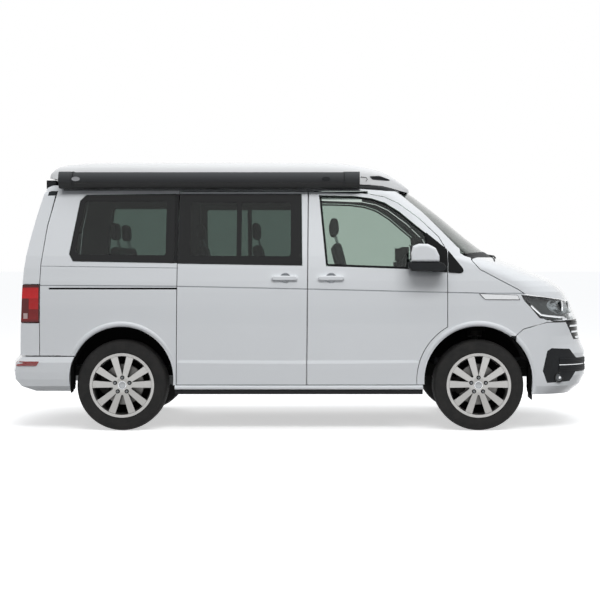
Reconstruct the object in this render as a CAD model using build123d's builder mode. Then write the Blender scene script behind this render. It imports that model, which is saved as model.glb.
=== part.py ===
from build123d import *
import math
import os

os.makedirs("parts", exist_ok=True)

# Camper van, in millimetres: +X forward, +Y left, +Z up.
# The origin is on the ground, halfway between the bumpers, on the centre plane.

# Wheels and axles
wheelbase = 2857
rear_axle_x = -1412.6
front_axle_x = rear_axle_x + wheelbase
tyre_radius = 364
tyre_width = 225
bead_radius = 246
axle_z = tyre_radius
wheel_y = 812
tyre_outer_y = wheel_y + tyre_width / 2
tyre_inner_y = wheel_y - tyre_width / 2

# Steering axis, leaning inwards from the lower ball joint to the strut's top
kingpin_low = (front_axle_x, 742, 225)
kingpin_top = (front_axle_x, 600, 850)

# Wheel arches: radius and centre of each opening
front_arch = {"x": 1439.6, "z": 406, "radius": 432, "inner_y": 468}
rear_arch = {"x": -1414, "z": 420, "radius": 414, "inner_y": 672}
arch_lip = 58

# Panels
wall = 60
shut_gap = 6
glass = 5
sill_z = 372
roof_seam_z = 1927
waist_z = 1372

# Body sections at rising heights. Columns: height, nose x, tail x, half width,
# nose arc radius, nose corner radius, tail arc radius, tail corner radius, side bulge
body_sections = (
    (360, 2330, -2290, 926, 2900, 330, 5200, 120, 12),
    (620, 2362, -2307, 939, 2800, 330, 5200, 120, 13),
    (860, 2356, -2303, 949, 2700, 340, 5200, 120, 14),
    (1000, 2298, -2298, 950, 2600, 350, 5200, 120, 14),
    (1110, 2243, -2294, 948, 2400, 350, 5200, 120, 14),
    (1155, 2198, -2291, 946, 2300, 345, 5200, 120, 14),
    (1200, 2135, -2287, 943, 2200, 340, 5200, 120, 13),
    (1250, 2022, -2282, 938, 2050, 325, 5200, 120, 13),
    (1300, 1903, -2277, 933, 1900, 310, 5200, 120, 12),
    (1350, 1780, -2269, 926, 1700, 300, 5200, 120, 12),
    (1400, 1642, -2261, 918, 1500, 290, 5200, 120, 11),
    (1475, 1525, -2243, 901, 1550, 255, 5200, 120, 11),
    (1550, 1427, -2225, 884, 1600, 220, 5200, 120, 10),
    (1750, 1185, -2171, 838, 1700, 150, 5000, 120, 8),
    (1900, 988, -2122, 803, 1700, 140, 5000, 130, 6),
    (1955, 900, -2092, 778, 1700, 150, 5000, 140, 6),
    (1975, 836, -2050, 735, 1650, 160, 5000, 150, 6),
)
front_bumper_sections = (
    (292, 2290, -400, 905, 2900, 330, 5200, 120, 12),
    (360, 2374, -400, 926, 2900, 330, 5200, 120, 12),
    (440, 2415, -400, 932, 2900, 330, 5200, 120, 12),
    (620, 2415, -400, 939, 2800, 330, 5200, 120, 13),
    (690, 2382, -400, 942, 2800, 330, 5200, 120, 13),
    (760, 2362, -400, 945, 2700, 330, 5200, 120, 13),
    (872, 2353, -400, 949, 2700, 340, 5200, 120, 14),
)
rear_bumper_sections = (
    (319, 400, -2240, 920, 2900, 330, 3000, 200, 12),
    (360, 400, -2360, 944, 2900, 330, 3000, 230, 12),
    (414, 400, -2407, 952, 2900, 330, 3000, 240, 12),
    (471, 400, -2415, 956, 2900, 330, 3000, 240, 12),
    (548, 400, -2400, 958, 2900, 330, 3000, 240, 12),
    (594, 400, -2350, 943, 2900, 330, 3200, 200, 12),
)


def arc_angle(radius, half_chord):
    """Angle in degrees that an arc turns across half its chord."""
    return math.degrees(math.asin(half_chord / radius))


def skin(sections, grow=0):
    """Right-hand half of the solid inside the body's surface, moved out by grow."""
    top = sections[-1][0]
    crowned = top == body_sections[-1][0]
    overlap = 20 if grow < 0 else 0
    with BuildPart() as solid:
        for row in sections:
            height, nose, tail, half, nose_arc, nose_corner, tail_arc, tail_corner, bulge = row
            if crowned and height == top:
                height += max(grow, -40)
            elif crowned and height == sections[-2][0]:
                height += 0.6 * grow
            elif row is sections[0]:
                height -= 2 * overlap
            elif height == top:
                height += overlap
            nose += grow
            tail -= grow
            half += grow
            end = half - bulge
            middle = (nose + tail) / 2
            with BuildSketch(Plane.XY.offset(height)) as outline:
                with BuildLine():
                    front = JernArc((nose, 0), (0, -1), nose_arc + grow, -arc_angle(nose_arc + grow, end))
                    rear = JernArc((tail, 0), (0, -1), tail_arc + grow, arc_angle(tail_arc + grow, end))
                    ThreePointArc(front @ 1, (middle, -half), rear @ 1)
                    if overlap:
                        Polyline(front @ 0, (nose, overlap), (tail, overlap), rear @ 0)
                    else:
                        Line(front @ 0, rear @ 0)
                make_face()
                corners = outline.vertices().group_by(Axis.Y)[0].sort_by(Axis.X)
                fillet(corners[-1], nose_corner + grow)
                fillet(corners[0], tail_corner + grow)
        loft(ruled=True)
    return solid.part


def side_prism(outline, y_low, y_high, corner=0, grow=0):
    """Solid with this side view between two widths."""
    with BuildPart() as solid:
        with BuildSketch(Plane.XZ.offset(-y_high)) as face:
            with BuildLine():
                Polyline(*outline, close=True)
            make_face()
            if corner:
                fillet(face.vertices(), corner)
            if grow:
                offset(amount=grow, kind=Kind.INTERSECTION)
        extrude(amount=y_high - y_low)
    return solid.part


def front_prism(outline, x_low, x_high, corner=0, grow=0):
    """Solid with this front view, given as y and z, between two lengths."""
    with BuildPart() as solid:
        with BuildSketch(Plane.YZ.offset(x_low)) as face:
            with BuildLine():
                Polyline(*outline, close=True)
            make_face()
            if corner:
                fillet(face.vertices(), corner)
            if grow:
                offset(amount=grow, kind=Kind.INTERSECTION)
        extrude(amount=x_high - x_low)
    return solid.part


def box(x_low, x_high, y_low, y_high, z_low, z_high):
    """Plain block between six planes."""
    with BuildPart() as solid:
        with BuildSketch(Plane.XY.offset(z_low)):
            with Locations(((x_low + x_high) / 2, (y_low + y_high) / 2)):
                Rectangle(x_high - x_low, y_high - y_low)
        extrude(amount=z_high - z_low)
    return solid.part


def arch_cut(arch, y_low, y_high, grow=0):
    """The space of one wheel arch, open downwards."""
    radius = arch["radius"] + grow
    with BuildPart() as solid:
        with BuildSketch(Plane.XZ.offset(-y_high)):
            with Locations((arch["x"], arch["z"])):
                Circle(radius)
            with Locations((arch["x"], arch["z"] - radius / 2)):
                Rectangle(2 * radius - 10, radius)
        extrude(amount=y_high - y_low)
    return solid.part


def mirrored(part):
    """The same piece on the other side of the centre plane."""
    return mirror(part, about=Plane.XZ)


def save(part, name):
    """Label one finished piece and write its file."""
    part.label = name
    export_step(part, "parts/" + name + ".step")


# Outer surface, wall and flush glass layer, all of the right-hand half
outer_skin = skin(body_sections)
with BuildPart() as wall_block:
    add(outer_skin)
    add(skin(body_sections, -wall), mode=Mode.SUBTRACT)
body_wall = wall_block.part
with BuildPart() as glass_block:
    add(outer_skin)
    add(skin(body_sections, -glass), mode=Mode.SUBTRACT)
glass_layer = glass_block.part

# Side views of the doors and lids, given as x and z
door_outline = (
    (71, sill_z), (84, 1920), (560, 1902), (690, 1877), (800, 1827), (973, 1700), (1126, 1552),
    (1172, 1470), (1190, 1390), (1190, sill_z),
)
slider_outline = ((-975, sill_z), (-960, 1920), (75, 1920), (62, sill_z))
bonnet_outline = (
    (1392, 1460), (1392, 1368), (1454, 1296), (1613, 1212), (1754, 1138), (1820, 1094),
    (2200, 1040), (2500, 1010), (2500, 1460),
)
tailgate_outline = (
    (-2600, 604), (-2072, 604), (-2071, 1175), (-2065, 1328), (-2025, 1638), (-1961, 1920),
    (-2600, 1920),
)
lamp_outline = ((-2600, 868), (-2068, 868), (-2068, 1170), (-2600, 1170))
lamp_inner_y = 800
plate_recess = {"half": 270, "z_low": 960, "z_high": 1090}

# Window openings in side view, and their front views as y and z
door_window = (
    (165, 1893), (221, 1318), (1066, 1288), (1030, 1580), (978, 1622), (818, 1757), (697, 1833),
    (592, 1867), (455, 1886),
)
slider_window = ((-960, 1904), (-972, 1338), (32, 1322), (26, 1904))
quarter_window = ((-1765, 1848), (-1838, 1416), (-1806, 1356), (-992, 1341), (-990, 1904), (-1715, 1896))
middle_window = ((-960, 1904), (-972, 1338), (20, 1322), (14, 1904))
screen_outline = ((50, 1372), (-846, 1372), (-700, 1922), (50, 1922))
rear_window = ((50, 1290), (-742, 1290), (-690, 1850), (50, 1850))
pane_border = 34

# Painted strip under the doors, carried by a web at the floor's edge, given as y and z
sill_strip = (
    (-928, 366), (-944, 352), (-944, 338), (-934, 332), (-850, 332), (-850, 505), (-858, 505), (-858, 366),
)

# Grooves along the sides. Columns: x, height of the upper edge; then the groove's own width
swage_line = ((-2100, 1169), (-971, 1162), (69, 1140), (1197, 1113), (1500, 1106))
swage_width = 9
upper_seam = ((-2100, 1322), (-975, 1306))
seam_width = 5
rail_slot = {"x_low": -1995, "x_high": -960, "z_low": 1132, "z_high": 1147, "depth": 40}

# Raised foot of the doors, and the rounded lip that leans out over each arch
foot = {"proud": 10, "inner_y": 872, "x_low": -967, "x_high": 962, "z_high": 564, "bevel": 38, "corner": 26}
arch_bead = {"section": 26, "offset": 22, "centre_y": 898.6, "lean": 4}

door_space = side_prism(door_outline, -1000, -500)
door_clearance = side_prism(door_outline, -1000, -500, grow=shut_gap)
bonnet_clearance = side_prism(bonnet_outline, -1000, 50, grow=shut_gap)
tailgate_clearance = side_prism(tailgate_outline, -1000, 50, grow=shut_gap)


def ahead_of_arc(centre_x, side_x, y_high=50):
    """Space ahead of a curved line across the foot of the windscreen."""
    with BuildPart() as solid:
        with BuildSketch(Plane.XY.offset(900)):
            with BuildLine():
                arc = ThreePointArc((side_x, -880), (centre_x, 0), (side_x, 880))
                Polyline(arc @ 1, (2600, 880), (2600, -1000), (side_x, -1000), arc @ 0)
            make_face()
        extrude(amount=700)
        add(box(0, 2700, y_high, 1000, 800, 1700), mode=Mode.SUBTRACT)
    return solid.part


def glazed(panel, window):
    """Side panel with a window opening and a shallow rebate round it."""
    with BuildPart() as rebate:
        add(side_prism(window, -1000, -500, grow=1))
        add(glass_layer, mode=Mode.INTERSECT)
    with BuildPart() as solid:
        add(panel)
        add(side_prism(window, -1000, -500, grow=-pane_border), mode=Mode.SUBTRACT)
        add(rebate.part, mode=Mode.SUBTRACT)
    return solid.part


def flush_pane(window):
    """Pane of glass that lies flush in such a rebate."""
    with BuildPart() as solid:
        add(side_prism(window, -1000, -500, grow=-0.5))
        add(glass_layer, mode=Mode.INTERSECT)
    return solid.part


def strip_outline(upper_edge, width):
    """Side view of a strip that hangs below this line."""
    return (*upper_edge, *((x, z - width) for x, z in reversed(upper_edge)))


with BuildPart() as side_grooves:
    add(side_prism(strip_outline(swage_line, swage_width), -1000, -500))
    add(side_prism(strip_outline(upper_seam, seam_width), -1000, -500))
    add(glass_layer, mode=Mode.INTERSECT)


def raised_foot(x_low, x_high):
    """The part of the doors' foot that stands out from the panel, with a bevel along its top."""
    middle_z = foot["z_high"] / 2 + sill_z / 2
    with BuildPart() as solid:
        with BuildSketch(Plane.XZ.offset(foot["inner_y"])) as band:
            with Locations(((foot["x_low"] + foot["x_high"]) / 2, middle_z)):
                RectangleRounded(foot["x_high"] - foot["x_low"], foot["z_high"] - sill_z, foot["corner"])
            with Locations(((foot["x_low"] + foot["x_high"]) / 2, sill_z + 40)):
                Rectangle(foot["x_high"] - foot["x_low"], 80)
        extrude(amount=100)
        outer_y = -body_sections[1][3] - foot["proud"]
        bevel_low = foot["z_high"] - foot["bevel"]
        add(front_prism(
            ((-foot["inner_y"], foot["z_high"]), (outer_y + foot["proud"] + 2, foot["z_high"]),
             (outer_y, bevel_low), (outer_y, 300), (-foot["inner_y"], 300)), x_low, x_high), mode=Mode.INTERSECT)
        add(skin(body_sections[:2], foot["proud"]), mode=Mode.INTERSECT)
    return solid.part


def bead(arch):
    """Rounded lip round one right-hand arch, standing out most at its top."""
    with BuildPart() as solid:
        with Locations((arch["x"], -arch_bead["centre_y"], arch["z"])):
            Torus(arch["radius"] + arch_bead["offset"], arch_bead["section"],
                  rotation=(90 + arch_bead["lean"], 0, 0))
    return solid.part


def door_handle(x_low, x_high, z, panel_y):
    """Grip bar with rounded ends, seated on a panel."""
    with BuildPart() as solid:
        with BuildSketch(Plane.XZ.offset(panel_y - 20)) as grip:
            with Locations(((x_low + x_high) / 2, z)):
                SlotOverall(x_high - x_low, 40)
        extrude(amount=46)
        chamfer(solid.faces().sort_by(Axis.Y)[0].edges(), 8)
    return solid.part


def finger_dish(x, z, panel_y):
    """Round hollow for the fingers behind a handle."""
    with BuildPart() as solid:
        with BuildSketch(Plane.XZ.offset(panel_y - 16)):
            with Locations((x, z)):
                Circle(34)
        extrude(amount=60, taper=-20)
    return solid.part


handle_z = 1222
handle_panel_y = 941

# Front doors, each cut round the wheel arch at its lower front corner, with a mirror on its corner
with BuildPart() as door_panel:
    add(door_space)
    add(body_wall, mode=Mode.INTERSECT)
    add(raised_foot(door_outline[0][0], door_outline[-1][0]))
    add(side_prism(door_window, -1000, -500), mode=Mode.SUBTRACT)
    add(side_grooves.part, mode=Mode.SUBTRACT)
    add(finger_dish(262, handle_z, handle_panel_y), mode=Mode.SUBTRACT)
    add(door_handle(157, 366, handle_z, handle_panel_y))
    add(arch_cut(front_arch, -1000, -500, arch_lip + shut_gap), mode=Mode.SUBTRACT)
mirror_cap = ((888, 1352), (882, 1420), (902, 1478), (950, 1496), (1020, 1494), (1082, 1462), (1112, 1400), (1112, 1352))
mirror_foot = ((868, 1354), (1112, 1354), (1150, 1338), (1172, 1304), (1130, 1278), (900, 1280), (872, 1308))
mirror_inner_y = -976
mirror_outer_y = -1150
with BuildPart() as mirror_cap_part:
    add(side_prism(mirror_cap, mirror_outer_y, mirror_inner_y, corner=14))
    fillet(mirror_cap_part.faces().sort_by(Axis.Y)[0].edges(), 26)
with BuildPart() as mirror_foot_part:
    add(side_prism(mirror_foot, mirror_outer_y + 12, mirror_inner_y, corner=12))
    fillet(mirror_foot_part.faces().sort_by(Axis.Y)[0].edges(), 16)
with BuildPart() as front_door_right:
    add(door_panel.part)
    add(mirror_cap_part.part)
    add(mirror_foot_part.part)
    with BuildSketch(Plane.XZ.offset(905)):
        with Locations((1110, 1312)):
            Rectangle(70, 44)
    extrude(amount=90)
with BuildPart() as front_door_left:
    add(mirrored(front_door_right.part))

with BuildPart() as pane_layer:
    add(skin(body_sections, -18))
    add(skin(body_sections, -18 - glass), mode=Mode.SUBTRACT)
with BuildPart() as door_glass_right:
    add(side_prism(door_window, -1000, -500))
    add(pane_layer.part, mode=Mode.INTERSECT)
with BuildPart() as door_glass_left:
    add(mirrored(door_glass_right.part))

# Sliding door and fixed sides
with BuildPart() as plain_slider:
    add(side_prism(slider_outline, -1000, -500))
    add(body_wall, mode=Mode.INTERSECT)
with BuildPart() as sliding_door:
    add(glazed(plain_slider.part, slider_window))
    add(raised_foot(slider_outline[0][0], slider_outline[-1][0]))
    add(side_grooves.part, mode=Mode.SUBTRACT)
    add(finger_dish(-104, handle_z, handle_panel_y), mode=Mode.SUBTRACT)
    add(door_handle(-213, -7, handle_z, handle_panel_y))

quarter_outline = (
    (-981, 366), (-966, roof_seam_z), (-1948, roof_seam_z), (-2018, 1638), (-2059, 1328),
    (-2065, 1175), (-2066, 604), (-1900, 604), (-1900, 366),
)
side_outline = quarter_outline[2:] + ((56, 366), (73, roof_seam_z))
side_blanks = []
for outline in (quarter_outline, side_outline):
    with BuildPart() as lip:
        add(bead(rear_arch))
        add(side_prism(outline, -1000, -500), mode=Mode.INTERSECT)
    with BuildPart() as blank:
        add(side_prism(outline, -1000, -500))
        add(body_wall, mode=Mode.INTERSECT)
        add(lip.part)
        add(side_grooves.part, mode=Mode.SUBTRACT)
        add(arch_cut(rear_arch, -1000, -500), mode=Mode.SUBTRACT)
        add(box(-2100, -1790, -1000, -500, 300, 602), mode=Mode.SUBTRACT)
    side_blanks.append(blank.part)
with BuildPart() as quarter_panel_right:
    add(glazed(side_blanks[0], quarter_window))
    add(box(rail_slot["x_low"], rail_slot["x_high"], -1000, rail_slot["depth"] - handle_panel_y,
            rail_slot["z_low"], rail_slot["z_high"]), mode=Mode.SUBTRACT)
with BuildPart() as side_panel_left:
    add(mirrored(glazed(glazed(side_blanks[1], quarter_window), middle_window)))
    add(mirrored(raised_foot(-975, 56)))
with BuildPart() as side_glass:
    add(flush_pane(slider_window))
    add(flush_pane(quarter_window))
    add(mirrored(flush_pane(quarter_window)))
    add(mirrored(flush_pane(middle_window)))

# Tailgate with its pane, and the lamps at its sides
with BuildPart() as rear_rebate:
    add(front_prism(rear_window, -2500, -1900, grow=1))
    add(glass_layer, mode=Mode.INTERSECT)
with BuildPart() as tailgate:
    add(side_prism(tailgate_outline, -1000, 50))
    add(body_wall, mode=Mode.INTERSECT)
    add(side_prism(lamp_outline, -1000, -lamp_inner_y, grow=shut_gap), mode=Mode.SUBTRACT)
    add(front_prism(rear_window, -2500, -1900, grow=-pane_border), mode=Mode.SUBTRACT)
    add(rear_rebate.part, mode=Mode.SUBTRACT)
    add(box(-2600, -2282, -plate_recess["half"], 50, plate_recess["z_low"], plate_recess["z_high"]),
        mode=Mode.SUBTRACT)
    add(box(-2312, -2270, -plate_recess["half"], 50, plate_recess["z_high"] - 6, plate_recess["z_high"] + 34))
    mirror(about=Plane.XZ)
with BuildPart() as tailgate_glass:
    add(front_prism(rear_window, -2500, -1900))
    add(glass_layer, mode=Mode.INTERSECT)
    mirror(about=Plane.XZ)
with BuildPart() as tail_lamps:
    add(side_prism(lamp_outline, -1000, -lamp_inner_y - 2))
    add(body_wall, mode=Mode.INTERSECT)
    mirror(about=Plane.XZ)

# Roof with the hatch under the pop-up roof
hatch = {"x_low": -1750, "x_high": 560, "half": 560}
with BuildPart() as roof_panel:
    add(box(-2500, 1100, -1000, 50, roof_seam_z, 2100))
    add(body_wall, mode=Mode.INTERSECT)
    add(box(hatch["x_low"], hatch["x_high"], -hatch["half"], 50, 1900, 2100), mode=Mode.SUBTRACT)
    mirror(about=Plane.XZ)

# Windscreen, pillars and cowl
with BuildPart() as windscreen:
    add(front_prism(screen_outline, 700, 1800))
    add(glass_layer, mode=Mode.INTERSECT)
    add(ahead_of_arc(1578, 1330), mode=Mode.SUBTRACT)
    mirror(about=Plane.XZ)
with BuildPart() as pillars:
    add(box(560, 1400, -1000, 50, waist_z, roof_seam_z))
    add(body_wall, mode=Mode.INTERSECT)
    add(front_prism(screen_outline, 700, 1800, grow=1), mode=Mode.SUBTRACT)
    add(door_clearance, mode=Mode.SUBTRACT)
    add(bonnet_clearance, mode=Mode.SUBTRACT)
    add(box(1300, 1500, -864, 50, 1300, 1500), mode=Mode.SUBTRACT)
    for height, pillar_x, pillar_y in ((500, 74, -836), (1300, 78, -836), (1926, 82, -668)):
        with BuildSketch(Plane.XY.offset(height)):
            with Locations((pillar_x, pillar_y)):
                Rectangle(90, 50)
    loft(ruled=True)
    add(front_prism(sill_strip, -988, 996))
    mirror(about=Plane.XZ)

# Bonnet and cowl
with BuildPart() as bonnet:
    add(side_prism(bonnet_outline, -1000, 50))
    add(body_wall, mode=Mode.INTERSECT)
    add(ahead_of_arc(1668, 1396), mode=Mode.INTERSECT)
    mirror(about=Plane.XZ)
with BuildPart() as cowl_panel:
    add(box(1300, 1700, -862, 50, 1330, 1440))
    add(body_wall, mode=Mode.INTERSECT)
    add(ahead_of_arc(1582, 1334), mode=Mode.INTERSECT)
    add(ahead_of_arc(1660, 1388), mode=Mode.SUBTRACT)
    add(box(1196, 1432, -1000, -820, 1300, waist_z + 2), mode=Mode.SUBTRACT)
    mirror(about=Plane.XZ)

# Front wings and headlamps
headlamp_outline = (
    (1784, 1087), (2190, 1034), (2500, 1010), (2500, 893), (2200, 893), (1990, 888), (1925, 920),
    (1812, 1038),
)
headlamp_inner_y = 500
wing_outline = (
    (1196, 366), (1196, waist_z), (1392, waist_z), (1454, 1296), (1613, 1212), (1754, 1138),
    (1820, 1090), (2500, 1004), (2500, 873), (1990, 873), (1800, 819), (1736, 762), (1736, 366),
)
with BuildPart() as wing_form:
    add(side_prism(wing_outline, -1000, -headlamp_inner_y))
    with BuildSketch(Plane.XZ.offset(500)):
        with Locations((front_arch["x"], front_arch["z"])):
            Circle(front_arch["radius"] + arch_lip)
        with Locations((2500, 400)):
            Rectangle(2600, 3000, mode=Mode.SUBTRACT)
        with Locations((0, 0)):
            Rectangle(3000, 2 * sill_z, mode=Mode.SUBTRACT)
    extrude(amount=500)
with BuildPart() as wing_lip:
    add(bead(front_arch))
    add(wing_form.part, mode=Mode.INTERSECT)
with BuildPart() as front_wings:
    add(wing_form.part)
    add(body_wall, mode=Mode.INTERSECT)
    add(wing_lip.part)
    add(side_grooves.part, mode=Mode.SUBTRACT)
    add(bonnet_clearance, mode=Mode.SUBTRACT)
    add(side_prism(headlamp_outline, -1000, -400, grow=3), mode=Mode.SUBTRACT)
    add(arch_cut(front_arch, -1000, -400), mode=Mode.SUBTRACT)
    add(box(1700, 2600, -1000, -300, 300, 762), mode=Mode.SUBTRACT)
    add(box(900, 1200, -1000, -300, 300, 369), mode=Mode.SUBTRACT)
    mirror(about=Plane.XZ)
lamp_cover = 4
projectors = ((-815, 990), (-690, 985))
with BuildPart() as headlamp_covers:
    add(side_prism(headlamp_outline, -1000, -headlamp_inner_y))
    add(outer_skin, mode=Mode.INTERSECT)
    add(skin(body_sections[1:8], -lamp_cover), mode=Mode.SUBTRACT)
    mirror(about=Plane.XZ)
with BuildPart() as headlamps:
    add(side_prism(headlamp_outline, -1000, -headlamp_inner_y, grow=-3))
    for lens_y, lens_z in projectors:
        with BuildSketch(Plane.YZ.offset(1700)):
            with Locations((lens_y, lens_z)):
                Circle(50)
        extrude(amount=800, mode=Mode.SUBTRACT)
    add(skin(body_sections[1:8], -38), mode=Mode.INTERSECT)
    add(skin(body_sections[1:8], -wall), mode=Mode.SUBTRACT)
    for lens_y, lens_z in projectors:
        with BuildPart() as projector:
            with BuildSketch(Plane.YZ.offset(1700)):
                with Locations((lens_y, lens_z)):
                    Circle(50)
            extrude(amount=800)
            add(skin(body_sections[1:8], -14), mode=Mode.INTERSECT)
            add(skin(body_sections[1:8], -wall), mode=Mode.SUBTRACT)
        add(projector.part)
    mirror(about=Plane.XZ)

# Threaded holes for the towing eyes, reached through the bumpers
eye_radius = 9
eye_y = 300
eye_z = 437
eye_access = 32

# Front bumper and the grille
bumper_wall = 50
nose_core = skin(front_bumper_sections, -bumper_wall)
bumper_outline = (
    (1742, 292), (1742, 760), (1800, 813), (1990, 867), (2600, 867), (2600, 292),
)
intake = {"half": 560, "z_low": 704}
low_intake = {"half": 420, "z_low": 482, "z_high": 606}
grille_bar = 16
low_bars = (508, 560)
middle_bars = (735, 782, 829)
upper_bars = (884, 934, 984)
trim_outline = (
    (2026, 663), (2178, 655), (2205, 620), (2240, 580), (2600, 580), (2600, 470), (2230, 470),
    (2180, 395), (1990, 384), (1955, 480), (1990, 640),
)
trim_inner_y = 640
with BuildPart() as bumper_cover:
    add(side_prism(bumper_outline, -1000, 50))
    add(skin(front_bumper_sections), mode=Mode.INTERSECT)
    add(nose_core, mode=Mode.SUBTRACT)
with BuildPart() as bumper_lip:
    add(bead(front_arch))
    add(side_prism(bumper_outline, -1000, -500), mode=Mode.INTERSECT)
with BuildPart() as front_bumper:
    add(bumper_cover.part)
    add(bumper_lip.part)
    add(box(1900, 2600, -intake["half"], 50, intake["z_low"], 900), mode=Mode.SUBTRACT)
    add(box(1900, 2600, -low_intake["half"], 50, low_intake["z_low"], low_intake["z_high"]), mode=Mode.SUBTRACT)
    add(arch_cut(front_arch, -1000, -400, 2), mode=Mode.SUBTRACT)
    add(side_prism(trim_outline, -1000, -trim_inner_y), mode=Mode.SUBTRACT)
    mirror(about=Plane.XZ)
    with BuildSketch(Plane.YZ.offset(2200)):
        with Locations((-eye_y, eye_z)):
            Circle(eye_access)
    extrude(amount=300, mode=Mode.SUBTRACT)


def grille_panel(sections, core, half, z_low, z_high, bars):
    """Right-hand half of a backing that follows the nose, with bars standing out from it."""
    with BuildPart() as backing:
        add(box(1900, 2600, -half, 50, z_low, z_high))
        add(skin(sections, -30), mode=Mode.INTERSECT)
        add(core, mode=Mode.SUBTRACT)
    with BuildPart() as solid:
        for bar_z in bars:
            add(box(1900, 2600, -half, 50, bar_z, bar_z + grille_bar))
        add(skin(sections, -4), mode=Mode.INTERSECT)
        add(core, mode=Mode.SUBTRACT)
        add(backing.part)
    return solid.part


nose_sections = body_sections[2:6]
with BuildPart() as front_grille:
    add(grille_panel(front_bumper_sections, nose_core, intake["half"] - 4, intake["z_low"] + 4, 866, middle_bars))
    add(grille_panel(front_bumper_sections, nose_core, low_intake["half"] - 4, low_intake["z_low"] + 4,
                     low_intake["z_high"] - 4, low_bars))
    add(grille_panel(nose_sections, skin(nose_sections, -bumper_wall), headlamp_inner_y - 4, 866, 1030,
                     upper_bars))
    mirror(about=Plane.XZ)

# Rear bumper
with BuildPart() as rear_bumper:
    add(box(-2600, -1784, -1000, 50, 300, 700))
    add(skin(rear_bumper_sections), mode=Mode.INTERSECT)
    add(skin(rear_bumper_sections, -bumper_wall), mode=Mode.SUBTRACT)
    add(arch_cut(rear_arch, -1000, -500, 2), mode=Mode.SUBTRACT)
    mirror(about=Plane.XZ)
    with BuildSketch(Plane.YZ.offset(-2500)):
        with Locations((eye_y, eye_z)):
            Circle(eye_access)
    extrude(amount=300, mode=Mode.SUBTRACT)

# Dark lower trims: the sills between the wheels and the corners of the front bumper
sill_section = ((-926, 332), (-922, 316), (-902, 292), (-846, 292), (-846, 332))
with BuildPart() as lower_trims:
    add(side_prism(trim_outline, -1000, -trim_inner_y))
    add(bumper_cover.part, mode=Mode.INTERSECT)
    add(front_prism(sill_section, -988, 996))
    mirror(about=Plane.XZ)

# Pop-up roof: a shallow tray with a crowned top and a nose curved like the roof's front edge
roof_side = (
    (907, 1900), (907, 1962), (868, 2003), (781, 2081), (695, 2133), (608, 2159), (434, 2186),
    (261, 2202), (-1864, 2202), (-2011, 2185), (-2072, 2150), (-2118, 2106), (-2146, 2062),
    (-2120, 2034), (-1960, 2030), (-1940, 1900),
)
roof_front = (
    (50, 2205), (-200, 2202), (-420, 2190), (-600, 2168), (-680, 2130), (-704, 2070), (-704, 1900),
    (50, 1900),
)
tray_wall = 25


def roof_tray(grow, overlap=0):
    """Right-hand half of the pop-up roof's outer form, moved out by grow."""
    with BuildPart() as solid:
        add(side_prism(roof_side, -900, overlap, grow=grow))
        add(front_prism(roof_front, -2300, 1000, grow=grow), mode=Mode.INTERSECT)
        with BuildSketch(Plane.XY.offset(1800)):
            with BuildLine():
                nose = ThreePointArc((752 + grow, -640), (907 + grow, 0), (752 + grow, 640))
                Polyline(nose @ 1, (500, 900), (-2300, 900), (-2300, -900), (500, -900), nose @ 0)
            make_face()
        extrude(amount=600, mode=Mode.INTERSECT)
    return solid.part


with BuildPart() as pop_roof:
    add(roof_tray(0))
    add(roof_tray(-tray_wall, 20), mode=Mode.SUBTRACT)
    add(box(-1900, 1000, -679, 20, 1800, 2040), mode=Mode.SUBTRACT)
    add(skin(body_sections, 8), mode=Mode.SUBTRACT)
    mirror(about=Plane.XZ)

# Folded fabric wall of the pop-up roof, round the hatch
bellows = {"margin": 12, "thickness": 24, "z_low": 1976, "z_high": 2070}
with BuildPart() as roof_bellows:
    inner_length = hatch["x_high"] - hatch["x_low"] + 2 * bellows["margin"]
    inner_width = 2 * hatch["half"] + 2 * bellows["margin"]
    with BuildSketch(Plane.XY.offset(bellows["z_low"])):
        with Locations(((hatch["x_low"] + hatch["x_high"]) / 2, 0)):
            Rectangle(inner_length + 2 * bellows["thickness"], inner_width + 2 * bellows["thickness"])
            Rectangle(inner_length, inner_width, mode=Mode.SUBTRACT)
    extrude(amount=bellows["z_high"] - bellows["z_low"])

# Awning case along the right-hand edge of the roof, on three brackets
awning = {"x_low": -1923, "x_high": 489, "z_low": 1944, "z_high": 2078, "y_in": -785, "y_out": -905}
with BuildPart() as awning_case:
    for x_low, x_high, swell in ((-1923, -1827, 4), (-1827, 376, 0), (376, 489, 4)):
        with BuildSketch(Plane.YZ.offset(x_low)):
            with BuildLine():
                low = (awning["y_out"] + 34 - swell, awning["z_low"])
                high = (awning["y_out"] + 34 - swell, awning["z_high"] - 4 + swell)
                ThreePointArc(low, (awning["y_out"] - swell, 2006), high)
                Polyline(high, (-800, awning["z_high"] + swell), (-785, 2066), (-785, awning["z_low"]), low)
            make_face()
        extrude(amount=x_high - x_low)
    for bracket_x in (-1700, -700, 300):
        add(box(bracket_x - 60, bracket_x + 60, -786, -722, 1950, 1996))
    add(outer_skin, mode=Mode.SUBTRACT)

# Roof trims: a rail along each side and a dark spoiler across the rear edge
with BuildPart() as roof_trims:
    add(front_prism(((-780, 1930), (-806, 1930), (-801, 1941), (-780, 1941)), -1900, 500))
    mirror(about=Plane.XZ)
    with BuildSketch(Plane.XY.offset(1952)) as plan:
        with BuildLine():
            back = ThreePointArc((-2058, -700), (-2114, 0), (-2058, 700))
            Polyline(back @ 1, (-1985, 700), (-1985, -700), back @ 0)
        make_face()
    extrude(amount=66)
    add(outer_skin, mode=Mode.SUBTRACT)
    add(mirrored(outer_skin), mode=Mode.SUBTRACT)

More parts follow.
